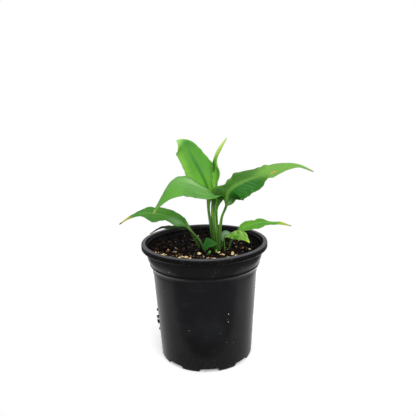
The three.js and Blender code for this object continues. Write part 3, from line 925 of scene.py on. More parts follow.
ARCHING = Leaf(
    "leaf_arching",
    # Its dark underside is painted shade, and its two pale soft spots are painted sheen.
    LeafFinish("leaf_arching_over", "leaf_bright", base="#45822c", light="#6a9c50", vein="#397d28",
               midrib="#6a9c4e", margin="#4a8a2a", tip="#55962e", tip_from=0.5, tip_blend=0.3,
               burnt_tip="#98a84a", under="#2a5a1a", roughness=0.34,
               spots_and_painted_light=(Spot(0.07, -0.85, (0.12, 0.5), "#96be86", soft=True),
                      Spot(0.5, 0.5, (0.22, 0.35), "#82b06c", soft=True)), vein_depth=0.4, relief_mm=0.09),
    blade_from=3, ripple=Ripple(0.4, (2, 2.5), (0.2, 0.6)), seed=3,
    stations=[
        Station((11.1, -5.6, STEM_FOOT), (-0.1, 1, 0), (2.4, 2.4), (20, 30, 20, 30), 1.2),
        Station((10.9, -5.8, 106), (-0.1, 1, 0), (3, 3.4), (30, 50, 30, 50), 1.3),
        Station((10.4, -5.6, 121), (0, 1, 0), (3, 4.6), (30, 50, 30, 50), 1.3),
        Station((10.3, -5.2, 135), (0.2, 0.9, 0), (2.4, 5.4), (30, 45, 30, 38), 1.4),
        Station((11.4, -5.6, 141.5), (0.3, 0.85, 0.2), (3.7, 6.6), (35, 35, 30, 28), 1.1),
        Station((11.6, -7.8, 147), (0.2, 0.4, 0.8), (7, 7.6), (20, 10, 25, 20), 1.0),
        Station((6, -11, 151.2), (-0.1, -0.2, 1), (8.9, 8.6), (0, -20, 15, 10), 0.9),
        Station((-2, -14.5, 155.2), (-0.1, -0.45, 1), (10.8, 10), (-5, -20, 6, 0), 0.8),
        Station((-10.2, -17.5, 159), (-0.1, -0.5, 1), (11.7, 12.7), (-8, -25, 8, 0), 0.8),
        Station((-19.4, -20.5, 161.4), (-0.2, -0.55, 1), (12, 12.7), (-12, -25, 0, -15), 0.7),
        Station((-28.2, -23.5, 157.2), (-0.5, -0.6, 0.8), (10.4, 7.7), (-8, -20, -5, -25), 0.6),
        Station((-35.2, -26, 148), (-0.7, -0.5, 0.6), (4.4, 4), (-5, -10, -5, -10), 0.5),
        tip((-42, -28.5, 138.2), (-0.7, -0.5, 0.6)),
    ],
)

LONG = Leaf(
    "leaf_long",
    # Its darker right half, which hangs towards the front, is painted shade, and so are the two dark soft
    # spots by the blade's base. The tan and the brown ragged spots are real blemishes.
    LeafFinish("full_leaf_long", "leaf_deep", base="#316714", light="#4a7e1d", vein="#2a5f1a",
               midrib="#5f9034", margin="#5c8f30", tip="#6a9f3c", tip_from=0.56, tip_blend=0.2,
               burnt_tip="#7a9c30", under="#357020", midrib_width=2.3, relief_mm=0.09, vein_spacing=5,
               shaded_right_half="#247122", half_to=0.74,
               spots_and_painted_light=(Spot(0.76, 0.3, (0.026, 0.16), "#b98f55"), Spot(0.225, -0.7, (0.01, 0.09), "#24160c"),
                      Spot(0.04, 0.5, (0.17, 0.8), "#1e4a14", soft=True),
                      Spot(0.3, -0.5, (0.24, 0.3), "#356914", soft=True),
                      Spot(0.1, -0.6, (0.11, 0.7), "#28540f", soft=True),
                      Spot(0.7, -0.3, (0.16, 0.8), "#689c38", soft=True))),
    blade_from=4, ripple=Ripple(0.9, (4.5, 5.5), (0, 0.5)), lobes=(2, 3), seed=4,
    crinkle=0.35, frill=0.6, frill_mm=11,
    stations=[
        stalk((12.9, -1.2, STEM_FOOT), (-1, 0.4, 0), 1.0),
        stalk((13.0, -1.2, 106), (-1, 0.3, 0), 1.1),
        stalk((13.5, -1.3, 118), (-1, 0.1, 0), 1.4),
        stalk((15.3, -2.6, 129), (-1, 0.2, 0.2), 1.15),
        stalk((18.9, -4.5, 138.4), (-0.9, 0, 0.3), 1.15),
        Station((20.4, -6, 145.6), (-0.6, -0.7, 0.35), (2.6, 7.4), (20, 22, -46, -66), 1.0),
        Station((21.3, -6.7, 149.4), (-0.5, -0.75, 0.3), (13.6, 12.6), (18, 24, -48, -70), 1.0),
        Station((23.6, -7.6, 153.4), (-0.4, -0.62, 0.6), (8.2, 14.4), (10, 6, -40, -58), 0.9),
        Station((26, -8.1, 155.7), (-0.45, -0.6, 0.6), (10.2, 13.9), (8, 0, -37, -56), 0.9),
        Station((28.8, -8.6, 157.6), (-0.35, -0.6, 0.7), (13.8, 13.2), (6, -5, -35, -55), 0.9),
        Station((37.5, -9.6, 162), (-0.3, -0.6, 0.7), (11.7, 13), (3, -8, -35, -55), 0.8),
        Station((47, -10.6, 165.4), (-0.25, -0.6, 0.75), (11, 9.6), (0, -10, -35, -50), 0.8),
        Station((52.6, -11.1, 167.5), (-0.22, -0.6, 0.78), (10.8, 5.5), (0, -11, -22, -35), 0.75),
        Station((58, -11.6, 169.4), (-0.2, -0.6, 0.8), (9, 6), (0, -12, -5, -15), 0.7),
        Station((69.5, -12.6, 172.8), (-0.1, -0.5, 0.85), (6.3, 4.2), (0, 0, -5, -10), 0.6),
        Station((81.4, -13.6, 173.5), (0.05, -0.5, 0.85), (2.8, 1.3), (0, 0, -5, -5), 0.5),
        tip((93.4, -15, 169.2), (0.2, -0.5, 0.85)),
    ],
)

LOW_LEFT = Leaf(
    "leaf_low_left",
    # Its pale soft spot near the base is painted sheen.
    LeafFinish("leaf_low_left_skin", "leaf_deep", base="#2f7019", light="#478420", vein="#296018",
               midrib="#588c3e", margin="#4f8a2c", tip="#a3a32c", tip_from=0.78, burnt_tip="#5f2015",
               under="#377228", vein_depth=0.5, relief_mm=0.14,
               spots_and_painted_light=(Spot(0.2, -0.35, (0.14, 0.6), "#6a9460", soft=True),)),
    blade_from=4, ripple=Ripple(0.7, (3, 3.5), (0.2, 0.1)), seed=5, crinkle=0.3,
    stations=[
        stalk((0.4, -1.2, STEM_FOOT), (0.3, 1, 0), 1.0),
        stalk((-1.2, -0.6, 100), (0.3, 1, 0.3), 1.0),
        stalk((-4.6, 0.4, 108), (0.2, 0.5, 0.8), 0.95),
        stalk((-10.4, 1.6, 114.4), (0.2, 0, 1), 0.9),
        Station((-16, 2, 119.6), (0.3, -0.6, 0.75), (1.1, 3.6), (0, 0, 5, -5), 0.9),
        Station((-22.6, 1.8, 124.6), (0.3, -0.7, 0.7), (6.8, 7.2), (15, 5, 5, -10), 0.8),
        Station((-33.2, 1, 129.6), (0.2, -0.7, 0.7), (5.3, 8), (5, -5, 0, -15), 0.7),
        Station((-44.2, 0, 132.4), (0.1, -0.7, 0.7), (8.6, 7.6), (0, -10, 0, -15), 0.6),
        Station((-55.2, -1, 133), (-0.1, -0.6, 0.8), (4.2, 4.5), (0, -5, 0, -10), 0.5),
        Station((-65.2, -2, 129.8), (-0.2, -0.5, 0.85), (1.6, 1.9), FLAT, 0.4),
        tip((-75.3, -3, 123.8), (-0.2, -0.5, 0.85)),
    ],
)

SHADED = Leaf(
    "leaf_shaded",
    # Its near black greens are painted shade, for a leaf that lies low behind the others.
    LeafFinish("leaf_painted_shade", "leaf_deep", base="#15270a", light="#203a0f", vein="#1a300c",
               midrib="#244c18", margin="#24501a", tip="#7f8f2c", tip_from=0.86, under="#132409",
               stalk="#1c3a10", stalk_light="#35561c", roughness=0.6, gloss=0.1),
    blade_from=3, ripple=Ripple(0.5, (2.5, 2), (0.3, 0.7)), seed=6, columns=10,
    stations=[
        stalk((-3.2, 2.6, STEM_FOOT), (0.3, -1, 0), 1.0),
        stalk((-5, 3.6, 100), (0.3, -0.6, 0.6), 1.0),
        stalk((-9, 5.4, 107), (0.2, 0, 1), 0.9),
        stalk((-12.6, 8, 114.6), (0.2, 0, 1), 1.1),
        Station((-19.2, 9.4, 116), (0.1, -0.2, 1), (4, 3), (5, 0, 5, -5), 0.8),
        Station((-31.2, 11.6, 117), (0, -0.1, 1), (4, 4.8), (0, -15, 0, -10), 0.6),
        Station((-41.2, 13.4, 115.2), (-0.1, -0.1, 1), (1.8, 2.6), (0, -10, 0, -10), 0.5),
        tip((-50.8, 14.6, 109.8), (-0.3, -0.1, 1)),
    ],
)

LOW_RIGHT = Leaf(
    "leaf_low_right",
    LeafFinish("leaf_low_right_skin", "leaf_bright", base="#3f821a", light="#589620", vein="#357418",
               midrib="#62a03c", margin="#66a030", tip="#96a82c", tip_from=0.75, burnt_tip="#8b7a58",
               under="#427f26"),
    blade_from=3, ripple=Ripple(0.6, (3, 3.5), (0.6, 0.2)), seed=7, columns=12,
    stations=[
        stalk((21.8, 1.4, STEM_FOOT), (-0.3, 1, 0), 0.9),
        stalk((22.6, 1.6, 100), (-0.3, 1, 0.3), 0.9),
        stalk((25.4, 2, 107.5), (-0.5, 0.5, 0.8), 0.9),
        stalk((30, 3, 113.4), (-0.3, -0.4, 0.9), 0.9),
        Station((36.1, 4.5, 116.6), (-0.2, -0.6, 0.8), (4.6, 3.8), (10, 0, -5, -10), 0.8),
        Station((44.6, 6.2, 118.9), (-0.1, -0.65, 0.8), (5, 5.4), (0, -5, -5, -15), 0.7),
        Station((52.6, 7.6, 119.9), (0, -0.65, 0.8), (4.4, 4.6), (0, -5, -5, -15), 0.6),
        Station((60.8, 8.6, 119.2), (0, -0.6, 0.8), (1.7, 2), (0, -5, 0, -10), 0.5),
        Station((70, 9, 118.6), (0.1, -0.5, 0.9), (1.8, 2), FLAT, 0.4),
        tip((80, 9, 115.8), (0.2, -0.5, 0.9)),
    ],
)

MOTTLED = Leaf(
    "leaf_mottled",
    LeafFinish("leaf_mottled_skin", "leaf_mottled", base="#47861f", light="#5c9824", vein="#3c7a1c",
               midrib="#6f9e38", margin="#8cae3c", tip="#a8c22c", tip_from=0.82, mottle="#8aaa54",
               under="#5c8c30", stalk="#4b7c30", stalk_light="#8fb25a"),
    blade_from=3, ripple=Ripple(0.4, (2, 2), (0.1, 0.6)), seed=8, columns=10,
    stations=[
        stalk((18.2, -5.2, STEM_FOOT), (-0.6, 0.6, 0), 0.6),
        stalk((17.8, -5.2, 99), (-0.6, 0.6, 0.3), 0.5),
        stalk((17.4, -5.2, 106), (-0.6, -0.2, 0.5), 0.5),
        stalk((18.2, -5.6, 110.2), (-0.3, -0.7, 0.5), 0.5),
        Station((20, -6.5, 111.6), (-0.1, -0.85, 0.5), (0.9, 1), (0, -5, -5, -10), 0.6),
        Station((23.8, -8, 113), (0, -0.8, 0.6), (2.9, 3.2), (0, -10, -10, -20), 0.6),
        Station((28.9, -10.5, 114.1), (0, -0.75, 0.7), (4.3, 4.4), (0, -10, -15, -25), 0.55),
        Station((33.6, -13, 113.8), (0.2, -0.7, 0.7), (4.8, 5), (0, -10, -10, -20), 0.5),
        Station((37, -15, 111.2), (0.4, -0.6, 0.7), (2.2, 2.8), (0, -10, -5, -10), 0.4),
        tip((39.4, -16.2, 108), (0.5, -0.6, 0.6)),
    ],
)

FOLDED = Leaf(
    "leaf_folded",
    LeafFinish("leaf_folded_skin", "leaf_deep", base="#265a1c", light="#306a26", vein="#1c501c",
               midrib="#34702e", margin="#3a7c34", tip="#3f7c34", under="#2c6a28",
               stalk="#245a20", stalk_light="#2f6a2a", gloss=0.15),
    blade_from=2, ripple=Ripple(0.3, (1.5, 2), (0.3, 0)), seed=9, columns=10,
    stations=[
        stalk((1.6, -6.6, STEM_FOOT), (0, -1, 0), 0.8),
        stalk((1, -6.9, 96.5), (0, -1, 0), 0.8),
        Station((0.6, -7.3, 99.3), (0, -1, 0.2), (1.2, 0.9), FLAT, 0.6),
        Station((1.8, -8.2, 102), (-0.1, -1, 0.3), (4, 0.9), (4, 0, 0, 0), 0.6),
        Station((4.4, -9.6, 104.1), (-0.1, -1, 0.35), (7.4, 1.5), (4, -4, 0, 0), 0.5),
        Station((7.6, -11.4, 105.7), (0, -1, 0.4), (3.9, 1.8), (0, -4, 0, 0), 0.5),
        tip((11, -12.8, 106.5), (0.1, -1, 0.4)),
    ],
)

BACK = Leaf(
    "leaf_back",
    LeafFinish("leaf_back_skin", "leaf_deep", base="#3f7040", light="#6a9068", vein="#4a7a48",
               midrib="#8aa884", margin="#7fa07a", tip="#6f9a5a", under="#2f5a2f"),
    blade_from=2, ripple=Ripple(0.3, (1.5, 2), (0, 0.5)), seed=10, columns=10,
    stations=[
        stalk((15.6, 5.4, STEM_FOOT), (0, -1, 0), 0.8),
        stalk((16, 5.6, 98), (0, -1, 0.1), 0.8),
        stalk((16.4, 6, 103), (0, -1, 0.2), 0.7),
        Station((17.4, 6.6, 108), (0, -0.9, 0.4), (2.4, 2.6), (10, 5, 10, 5), 0.6),
        Station((19.6, 7.4, 110.6), (0.1, -0.8, 0.6), (3, 3), (0, -10, 0, -15), 0.5),
        Station((22.4, 8, 110.2), (0.3, -0.7, 0.7), (2.2, 2.2), (0, -10, 0, -15), 0.4),
        tip((24.8, 8.4, 108), (0.4, -0.7, 0.6)),
    ],
)

LEAVES = (UPRIGHT, SPEAR, ARCHING, LONG, LOW_LEFT, SHADED, LOW_RIGHT, MOTTLED, FOLDED, BACK)


@dataclass
class Bud:
    """A shoot tip still in its bract: a short leaning cone with a rounded shoulder."""

    name: str
    at: Triple
    radius: float
    height: float
    lean: Pair
    finish: LeafFinish = LeafFinish("shoot_tip", "leaf_bright", base="#285f16", light="#447f22",
                                    tip="#4d9026", tip_from=0.6)
    steps: int = 28
    # The bract's outline above the mix, as shares of its radius and height.
    outline: tuple[Pair, ...] = ((1, 0), (0.96, 0.25), (0.8, 0.5), (0.58, 0.72), (0.35, 0.88), (0.12, 0.97))

    def build(self) -> bpy.types.Object:
        """Turns the bract's outline round and leans it.

        Returns:
            The piece that stands for the bud's solid.
        """
        x, y, z = self.at
        cone = [(self.radius * share, z + rise * self.height) for share, rise in (*self.outline, (0, 1))]
        shape = turned([(0, STEM_FOOT), (self.radius * 0.7, STEM_FOOT), *cone], self.steps)
        layers = [shape.verts.layers.float.new(name) for name in READINGS]
        # The bract wears the leaf's finish from a fifth of the blade up, with three faint ribs round it.
        for vertex in shape.verts:
            rise = max(vertex.co.z / MM - z, 0.0)
            across = 0.4 * math.sin(3 * math.atan2(vertex.co.y, vertex.co.x))
            for layer, value in zip(layers, (0.2 + 0.8 * rise / self.height, across, rise, 3.0)):
                vertex[layer] = value
            vertex.co.x += (x + self.lean[0] * rise) * MM
            vertex.co.y += (y + self.lean[1] * rise) * MM
        piece = to_object(self.name, shape, [self.finish.material(False)])
        register(piece, self.finish.slot, self.name)
        return piece


BUDS = (
    Bud("bud_left", (4.2, -10.4, 96.4), 1.9, 3.8, (0.2, -0.2)),
    Bud("bud_front", (10.8, -10.2, 96.2), 1.5, 4.6, (-0.1, 0.1)),
)


# ------------------------------------------------------------------ pot

@dataclass
class NurseryPot:
    """A round pot moulded in one piece, with a rolled lip, a flared collar and notches round its foot."""

    finish: PotFinish = PotFinish()
    rim_radius: float = 56.6
    height: float = 107
    wall: float = 1.2
    floor_thickness: float = 1.6
    foot_radius: float = 40.8
    lip_drop: float = 5
    lip_width: float = 3.4
    notch_count: int = 8
    notch_half_width: float = 8.5
    notch_height: float = 3
    notch_corner: float = 2.2
    notch_inner_radius: float = 37
    first_notch: float = -87
    sharp_from: float = 38
    steps: int = 192

    def outline(self) -> list[Pair]:
        """Outside of the body and collar, as radius and height from the foot up.

        Returns:
            The points, in millimetres.
        """
        foot = [(self.foot_radius, 0), (41.5, 0.35), (42.0, 1.2), (42.13, 3.3), (42.25, 5.2), (42.6, 10.6)]
        body = [(44.45, 39.5), (46.9, 77.5), (47.4, 80), (47.6, 82), (47.85, 84), (48.2, 85.2)]
        bead = [(49.2, 86.8), (49.75, 87.3), (50.05, 87.8), (50.1, 88.3), (49.95, 88.8), (50.1, 89.6)]
        collar = [(50.75, 91), (51.6, 94), (52.1, 97), (52.4, 100), (52.6, 104.4)]
        return foot + body + bead + collar

    def lip(self) -> list[Pair]:
        """The rolled lip: under the ring, down its skirt, round the outside and over the flat top.

        Returns:
            The points, in millimetres.
        """
        top = self.height
        skirt = top - self.lip_drop
        outer = self.rim_radius
        inner = outer - self.lip_width
        # The points near each corner, by how far out and how far up from it they lie.
        corners = (
            (outer, top, ((-1.5, -2.6),)),
            (outer, skirt, ((-1.4, 0.2), (-1.0, 0), (-0.4, 0), (-0.1, 0.3), (0, 0.8))),
            (outer, top, ((0, -1.2), (-0.15, -0.6), (-0.5, -0.15), (-1.0, -0.05))),
            (inner, top, ((0.9, -0.1), (0.5, 0), (0.1, 0), (-0.2, -0.15), (-0.4, -0.6), (-0.6, -1.6),
                          (-1.0, -2.7), (-1.5, -3.4))),
        )
        return [(edge + out, level + up) for edge, level, points in corners for out, up in points]

    def build(self) -> bpy.types.Object:
        """Spins the wall and the lip in one piece and cuts the notches.

        Returns:
            The piece that stands for the pot's solid.
        """
        outside = self.outline()
        # The inner wall follows the outer one a little lower, and leaves out the foot's fine steps.
        inside = [(radius - self.wall, max(height - 0.6, self.floor_thickness))
                  for radius, height in outside[2:] if height < 2 or height > 5]
        profile = [(0, 0), *outside, *self.lip(), *reversed(inside), (0, self.floor_thickness)]
        pot = to_object("pot_shell", turned(profile, self.steps), [self.finish.material()])
        self.cut_notches(pot)
        pot.data.set_sharp_from_angle(angle=math.radians(self.sharp_from))
        register(pot, self.finish.slot, "pot")
        return pot

    def cut_notches(self, pot: bpy.types.Object) -> None:
        """Cuts a low arch through the corner of the foot at each notch.

        Args:
            pot: The pot, whose mesh is cut.
        """
        shape = bmesh.new()
        depth = self.foot_radius + 6 - self.notch_inner_radius
        middle = Matrix.Translation(((self.notch_inner_radius + depth / 2) * MM, 0, 0))
        size = Matrix.Diagonal((depth * MM, 2 * self.notch_half_width * MM, 2 * self.notch_height * MM, 1))
        for i in range(self.notch_count):
            turn = Matrix.Rotation(math.radians(self.first_notch + 360 / self.notch_count * i), 4, "Z")
            made = bmesh.ops.create_cube(shape, size=1.0, matrix=turn @ middle @ size)
            edges = {edge for vertex in made["verts"] for edge in vertex.link_edges}
            raised = [edge for edge in edges if all(vertex.co.z > 0 for vertex in edge.verts)
                      and abs(edge.calc_length() - depth * MM) < 10 * WELD]
            bmesh.ops.bevel(shape, geom=raised, offset=self.notch_corner * MM, offset_type="OFFSET",
                            segments=5, profile=0.5, affect="EDGES", material=-1)
        cutter = to_object("notch_cutter", shape, [])
        modifier = pot.modifiers.new("notches", "BOOLEAN")
        modifier.operation = "DIFFERENCE"
        modifier.object = cutter
        modifier.solver = "EXACT"
        evaluated = pot.evaluated_get(bpy.context.evaluated_depsgraph_get())
        whole, pot.data = pot.data, bpy.data.meshes.new_from_object(evaluated)
        pot.modifiers.clear()
        bpy.data.meshes.remove(whole)
        bpy.data.objects.remove(cutter)


# ------------------------------------------------------------------ loose matter

def crumb_mesh() -> bmesh.types.BMesh:
    """An empty mesh whose vertices hold their crumb's shade.

    Returns:
        The mesh.
    """
    shape = bmesh.new()
    shape.verts.layers.float.new("shade")
    return shape


def add_bit(shape: bmesh.types.BMesh, draw: random.Random, matrix: Matrix, rounds: int, jitter: float,
            tint: float, radius: float = 0.55) -> None:
    """Adds one bit of loose matter, breaks up its smooth form and gives it its shade.

    Args:
        shape: The mesh that takes the bit.
        draw: Source of the random steps.
        matrix: The bit's place, turn and size, in metres.
        rounds: How finely its ball is divided, or 0 for a block.
        jitter: How far each vertex strays, in metres.
        tint: The bit's shade, from 0 to 1.
        radius: The ball's radius before the matrix sizes it.
    """
    if rounds:
        made = bmesh.ops.create_icosphere(shape, subdivisions=rounds, radius=radius, matrix=matrix)["verts"]
    else:
        made = bmesh.ops.create_cube(shape, size=1.0, matrix=matrix)["verts"]
    shade = shape.verts.layers.float["shade"]
    for vertex in made:
        vertex.co += Vector((draw.gauss(0, jitter), draw.gauss(0, jitter), draw.gauss(0, jitter)))
        vertex[shade] = tint


def loose_piece(name: str, shape: bmesh.types.BMesh, finish: CrumbFinish) -> bpy.types.Object:
    """Closes a mesh of crumbs as one piece of the potted plant.

    Args:
        name: The piece's name.
        shape: The crumbs, in metres.
        finish: What they are made of.

    Returns:
        The finished piece.
    """
    bmesh.ops.recalc_face_normals(shape, faces=shape.faces)
    piece = to_object(name, shape, [finish.material()])
    register(piece, finish.slot)
    return piece


@dataclass
class WallGrit:
    """Crumbs of potting mix that were splashed on the pot and dried there."""

    pot: NurseryPot
    splashed: int = 150
    splash_height: float = 46
    seed: int = 23
    # Each lump: degrees round the wall, height, size and shade.
    lumps: tuple[Quad, ...] = (
        (-172, 43, 2.7, 0.25), (-174, 35.5, 4.4, 0.0), (-173, 31, 5.2, 0.0), (-172, 24, 3.2, 0.1),
        (-65, 53.7, 0.9, 1.0), (-65, 46.2, 1.1, 0.55), (-65.6, 48.5, 0.5, 0.5), (-124.5, 92.4, 0.9, 0.75),
        (-146.5, 88.6, 1.2, 0.4), (-9, 83, 1.5, 0.3), (-6, 62, 0.9, 0.3),
    )

    def radius(self, height: float) -> float:
        """The wall's outer radius at a height.

        Args:
            height: The height, in millimetres.

        Returns:
            The radius, in millimetres.
        """
        outline = self.pot.outline()
        for (near, low), (far, high) in zip(outline, outline[1:]):
            if low <= height <= high:
                return near + (far - near) * (height - low) / max(high - low, WELD)
        return outline[-1][0]

    def stick(self, shape: bmesh.types.BMesh, draw: random.Random, degrees: float, height: float, size: float,
              tint: float) -> None:
        """Sets one crumb half into the wall.

        Args:
            shape: The mesh that takes the crumb.
            draw: Source of the random steps.
            degrees: Its place round the wall.
            height: Its height, in millimetres.
            size: Its size, in millimetres.
            tint: Its shade, from 0 to 1.
        """
        angle = math.radians(degrees)
        reach = self.radius(height) + 0.12 * size
        place = Matrix.Translation(Vector((reach * math.cos(angle), reach * math.sin(angle), height)) * MM)
        width, rise = draw.uniform(0.7, 1.1) * size * MM, draw.uniform(0.7, 1.2) * size * MM
        flat = Matrix.Diagonal((0.5 * size * MM, width, rise, 1))
        matrix = place @ Matrix.Rotation(angle, 4, "Z") @ flat
        add_bit(shape, draw, matrix, 1, 0.09 * size * MM, tint, radius=0.5)

    def build(self) -> bpy.types.Object:
        """Sets the larger lumps and scatters fine grit over the lower wall.

        Returns:
            The finished piece.
        """
        draw = random.Random(self.seed)
        shape = crumb_mesh()
        for degrees, height, size, tint in self.lumps:
            self.stick(shape, draw, degrees, height, size, tint)
        for _ in range(self.splashed):
            height = self.splash_height * draw.random() ** 1.6 + 1.5
            degrees, size = draw.uniform(0, 360), draw.uniform(0.3, 0.9)
            self.stick(shape, draw, degrees, height, size, 0.5 * draw.random() ** 2)
        return loose_piece("grit_on_wall", shape, DRIED_SILT)


class Crumb(Enum):
    """How a bit of the mix is shaped: its length, width and height in millimetres, least and most."""

    FINE = ((0.8, 1.9), (0.7, 1.5), (0.5, 1.2))
    BARK = ((2.2, 5.2), (1.2, 3.0), (0.7, 1.8))
    SPLINTER = ((2.0, 5.5), (0.8, 1.8), (0.5, 1.0))


@dataclass
class PottingMix:
    """Damp bark and peat that fills the pot, crumbly on top, with paler wood chips lying on it."""

    pot: NurseryPot
    level: float = 98
    clearance: float = 0.4
    steps: int = 150
    rings: int = 62
    fines: int = 1500
    bark: int = 420
    chips: int = 190
    # Pale bits that stand for glints on the wet mix: painted highlights.
    grit: int = 120
    seed: int = 11
    # The top's crumbs: two pairs of crossing waves, each wave by its turn per millimetre along x and along y
    # and its start, and then the pair's height.
    waves: tuple[tuple[Triple, Triple, float], ...] = (
        ((0.52, 0.31, 0.6), (-0.27, 0.44, 1.9), 0.9),
        ((0.93, -0.71, 2.2), (0.67, 1.02, 0), 0.54),
    )
    # How far the top is heaped at the wall and settled elsewhere, and the height and fineness of its hollows.
    heaped: float = 1.2
    settled: float = 0.7
    rough: float = 1.3
    rough_per_mm: float = 0.42
    # Each large chip: where it lies, its length and width, its turn in degrees and its shade.
    large_chips: tuple[tuple[float, ...], ...] = (
        (-36.1, -14.5, 3.4, 2.0, 70, 0.9), (-34.0, -16.5, 2.4, 1.2, 10, 0.5),
        (-25.4, -9.5, 1.4, 2.4, 0, 0.9), (-24.8, -18.4, 3.6, 1.2, -12, 0.6),
        (-19.4, -20.6, 2.6, 1.6, 10, 0.9), (-16.0, -21.0, 3.4, 1.7, -6, 0.7),
        (-12.1, -23.6, 2.8, 1.4, 30, 0.8), (-13.6, -27.5, 2.6, 1.3, 0, 0.4),
        (-4.4, -13.5, 2.2, 3.4, 20, 1.0), (-0.9, -19.0, 3.4, 1.6, -35, 0.8), (3.2, -24.6, 2.8, 1.4, 5, 0.6),
        (4.6, -33.5, 6.0, 1.5, 4, 1.0), (13.1, -10.5, 2.2, 2.4, 0, 1.0), (11.5, -17.0, 2.0, 1.0, 60, 0.7),
        (15.6, -18.0, 3.6, 1.3, -10, 0.6), (24.3, -17.6, 2.6, 1.8, 30, 0.9),
        (27.2, -18.2, 2.4, 1.4, -20, 0.8), (-10.7, 21.3, 2.2, 1.2, 0, 0.4), (-25.5, 6.5, 1.6, 1.4, 40, 0.4),
        (39.1, 1.9, 1.8, 1.0, 0, 0.5), (-29.5, -24, 2.4, 1.1, 15, 0.5), (32, -14, 2.2, 1.2, 0, 0.5),
        (34, -2, 2.0, 1.0, 20, 0.5), (-43.5, -8.5, 2.4, 1.4, 60, 0.6), (-38.4, -15.6, 2.8, 1.8, 30, 0.8),
        (-29.0, -19.5, 2.6, 1.4, -15, 0.8), (-21.6, -24.4, 3.0, 1.5, 20, 0.9),
        (-9.4, -20.2, 2.4, 1.3, 50, 0.7), (8.6, -27.0, 3.0, 1.3, -8, 0.8), (20.4, -24.0, 2.4, 1.3, 12, 0.7),
        (24.8, -13.4, 2.0, 1.6, 0, 0.9), (-33.0, 1.5, 1.8, 1.2, 40, 0.5), (30.6, -6.4, 2.4, 1.0, 8, 0.5),
        (37.5, -8.0, 1.8, 1.1, -20, 0.5), (-41.0, -20.0, 2.0, 1.2, 35, 0.6),
        (0.4, -30.5, 2.8, 1.3, 10, 0.6),
    )

    def relief(self, x: float, y: float) -> float:
        """Height of the crumbs and hollows above the level, in millimetres.

        Args:
            x: Place to the right of the axis, in millimetres.
            y: Place behind the axis, in millimetres.

        Returns:
            The height there.
        """
        crumbs = 0.0
        for first, second, tall in self.waves:
            along, cross = (math.sin(a * x + b * y + start) for a, b, start in (first, second))
            crumbs += tall * along * cross
        from_axis = math.hypot(x, y) / (self.pot.foot_radius + 8)
        hollows = noise.fractal(Vector((x * self.rough_per_mm, y * self.rough_per_mm, 3.0)), 0.8, 2.1, 4)
        return crumbs + self.heaped * from_axis ** 4 - self.settled + self.rough * hollows

    def edge(self) -> float:
        """Radius of the mix at its surface, between two points of the collar.

        Returns:
            The radius, in millimetres.
        """
        (low, near), (high, far) = (97, 52.1), (104.4, 52.6)
        outside = near + (far - near) * (self.level - low) / (high - low)
        return outside - self.pot.wall - self.clearance + 0.1

    def bed(self) -> bpy.types.Object:
        """The body of the mix, with its top raised in crumbs.

        Returns:
            The piece that stands for the mix's solid.
        """
        foot = self.pot.floor_thickness + 0.3
        gap = self.pot.wall + self.clearance
        sides = [(radius - gap, max(height, foot))
                 for radius, height in self.pot.outline() if 1 < height < self.level - 2]
        edge = self.edge()
        top = [(edge * (self.rings - ring) / self.rings, self.level) for ring in range(self.rings)]
        shape = turned([(0, foot), *sides, *top, (0, self.level)], self.steps)
        shade = shape.verts.layers.float.new("shade")
        for vertex in shape.verts:
            x, y, z = vertex.co / MM
            if z > self.level - 0.01:
                vertex.co.z += self.relief(x, y) * MM
            vertex[shade] = 0.4 + 0.5 * noise.noise(Vector((x * 0.3, y * 0.3, z * 0.3)))
        bed = to_object("mix_bed", shape, [BARK_FINES.material()])
        register(bed, BARK_FINES.slot, "potting_mix")
        return bed

    def drop(self, shape: bmesh.types.BMesh, kind: Crumb, draw: random.Random, at: Pair,
             tint: float, scale: float = 1.0, sunk: float = 0.25) -> None:
        """Lays one bit on the surface.

        Args:
            shape: The mesh that takes the bit.
            kind: The bit's kind.
            draw: Source of its random size and turn.
            at: Where it lies, in millimetres.
            tint: Its shade, from 0 to 1.
            scale: Times its usual size.
            sunk: Share of its height below the surface.
        """
        length, width, height = (draw.uniform(*limits) * scale for limits in kind.value)
        x, y = at
        z = self.level + self.relief(x, y) + height * (0.5 - sunk)
        turn = Matrix.Rotation(draw.uniform(0, math.tau), 4, "Z")
        tilt = Matrix.Rotation(draw.gauss(0, 0.35), 4, "Y")
        place = Matrix.Translation(Vector((x, y, z)) * MM)
        matrix = place @ turn @ tilt @ Matrix.Diagonal((length * MM, width * MM, height * MM, 1))
        rounds = {Crumb.FINE: 1, Crumb.BARK: 2, Crumb.SPLINTER: 0}[kind]
        add_bit(shape, draw, matrix, rounds, 0.16 * min(width, height) * MM, tint)

    def free_place(self, draw: random.Random, reach: float) -> Pair:
        """A random place on the surface, within a share of its radius.

        Args:
            draw: Source of the random steps.
            reach: The share of the surface's radius to stay within.

        Returns:
            The place, in millimetres.
        """
        radius = self.edge() * reach * math.sqrt(draw.random())
        angle = draw.uniform(0, math.tau)
        return radius * math.cos(angle), radius * math.sin(angle)

    def loose(self) -> None:
        """Makes the crumbs, the bark, the pale bits that paint glints and the pale chips, each as one piece.
        """
        draw = random.Random(self.seed)
        for name, kind, count, finish, (darkest, lightest), scale in (
                ("mix_fines", Crumb.FINE, self.fines, BARK_FINES, (0.0, 1.2), 1.0),
                ("mix_bark", Crumb.BARK, self.bark, BARK, (0.0, 1.0), 1.0),
                ("mix_painted_glints", Crumb.FINE, self.grit, PAINTED_GLINT_BITS, (0.1, 1.0), 0.9)):
            shape = crumb_mesh()
            for _ in range(count):
                tint = darkest + (lightest - darkest) * draw.random() ** 3
                self.drop(shape, kind, draw, self.free_place(draw, 0.97), tint, scale)
            loose_piece(name, shape, finish)
        self.wood_chips(draw)

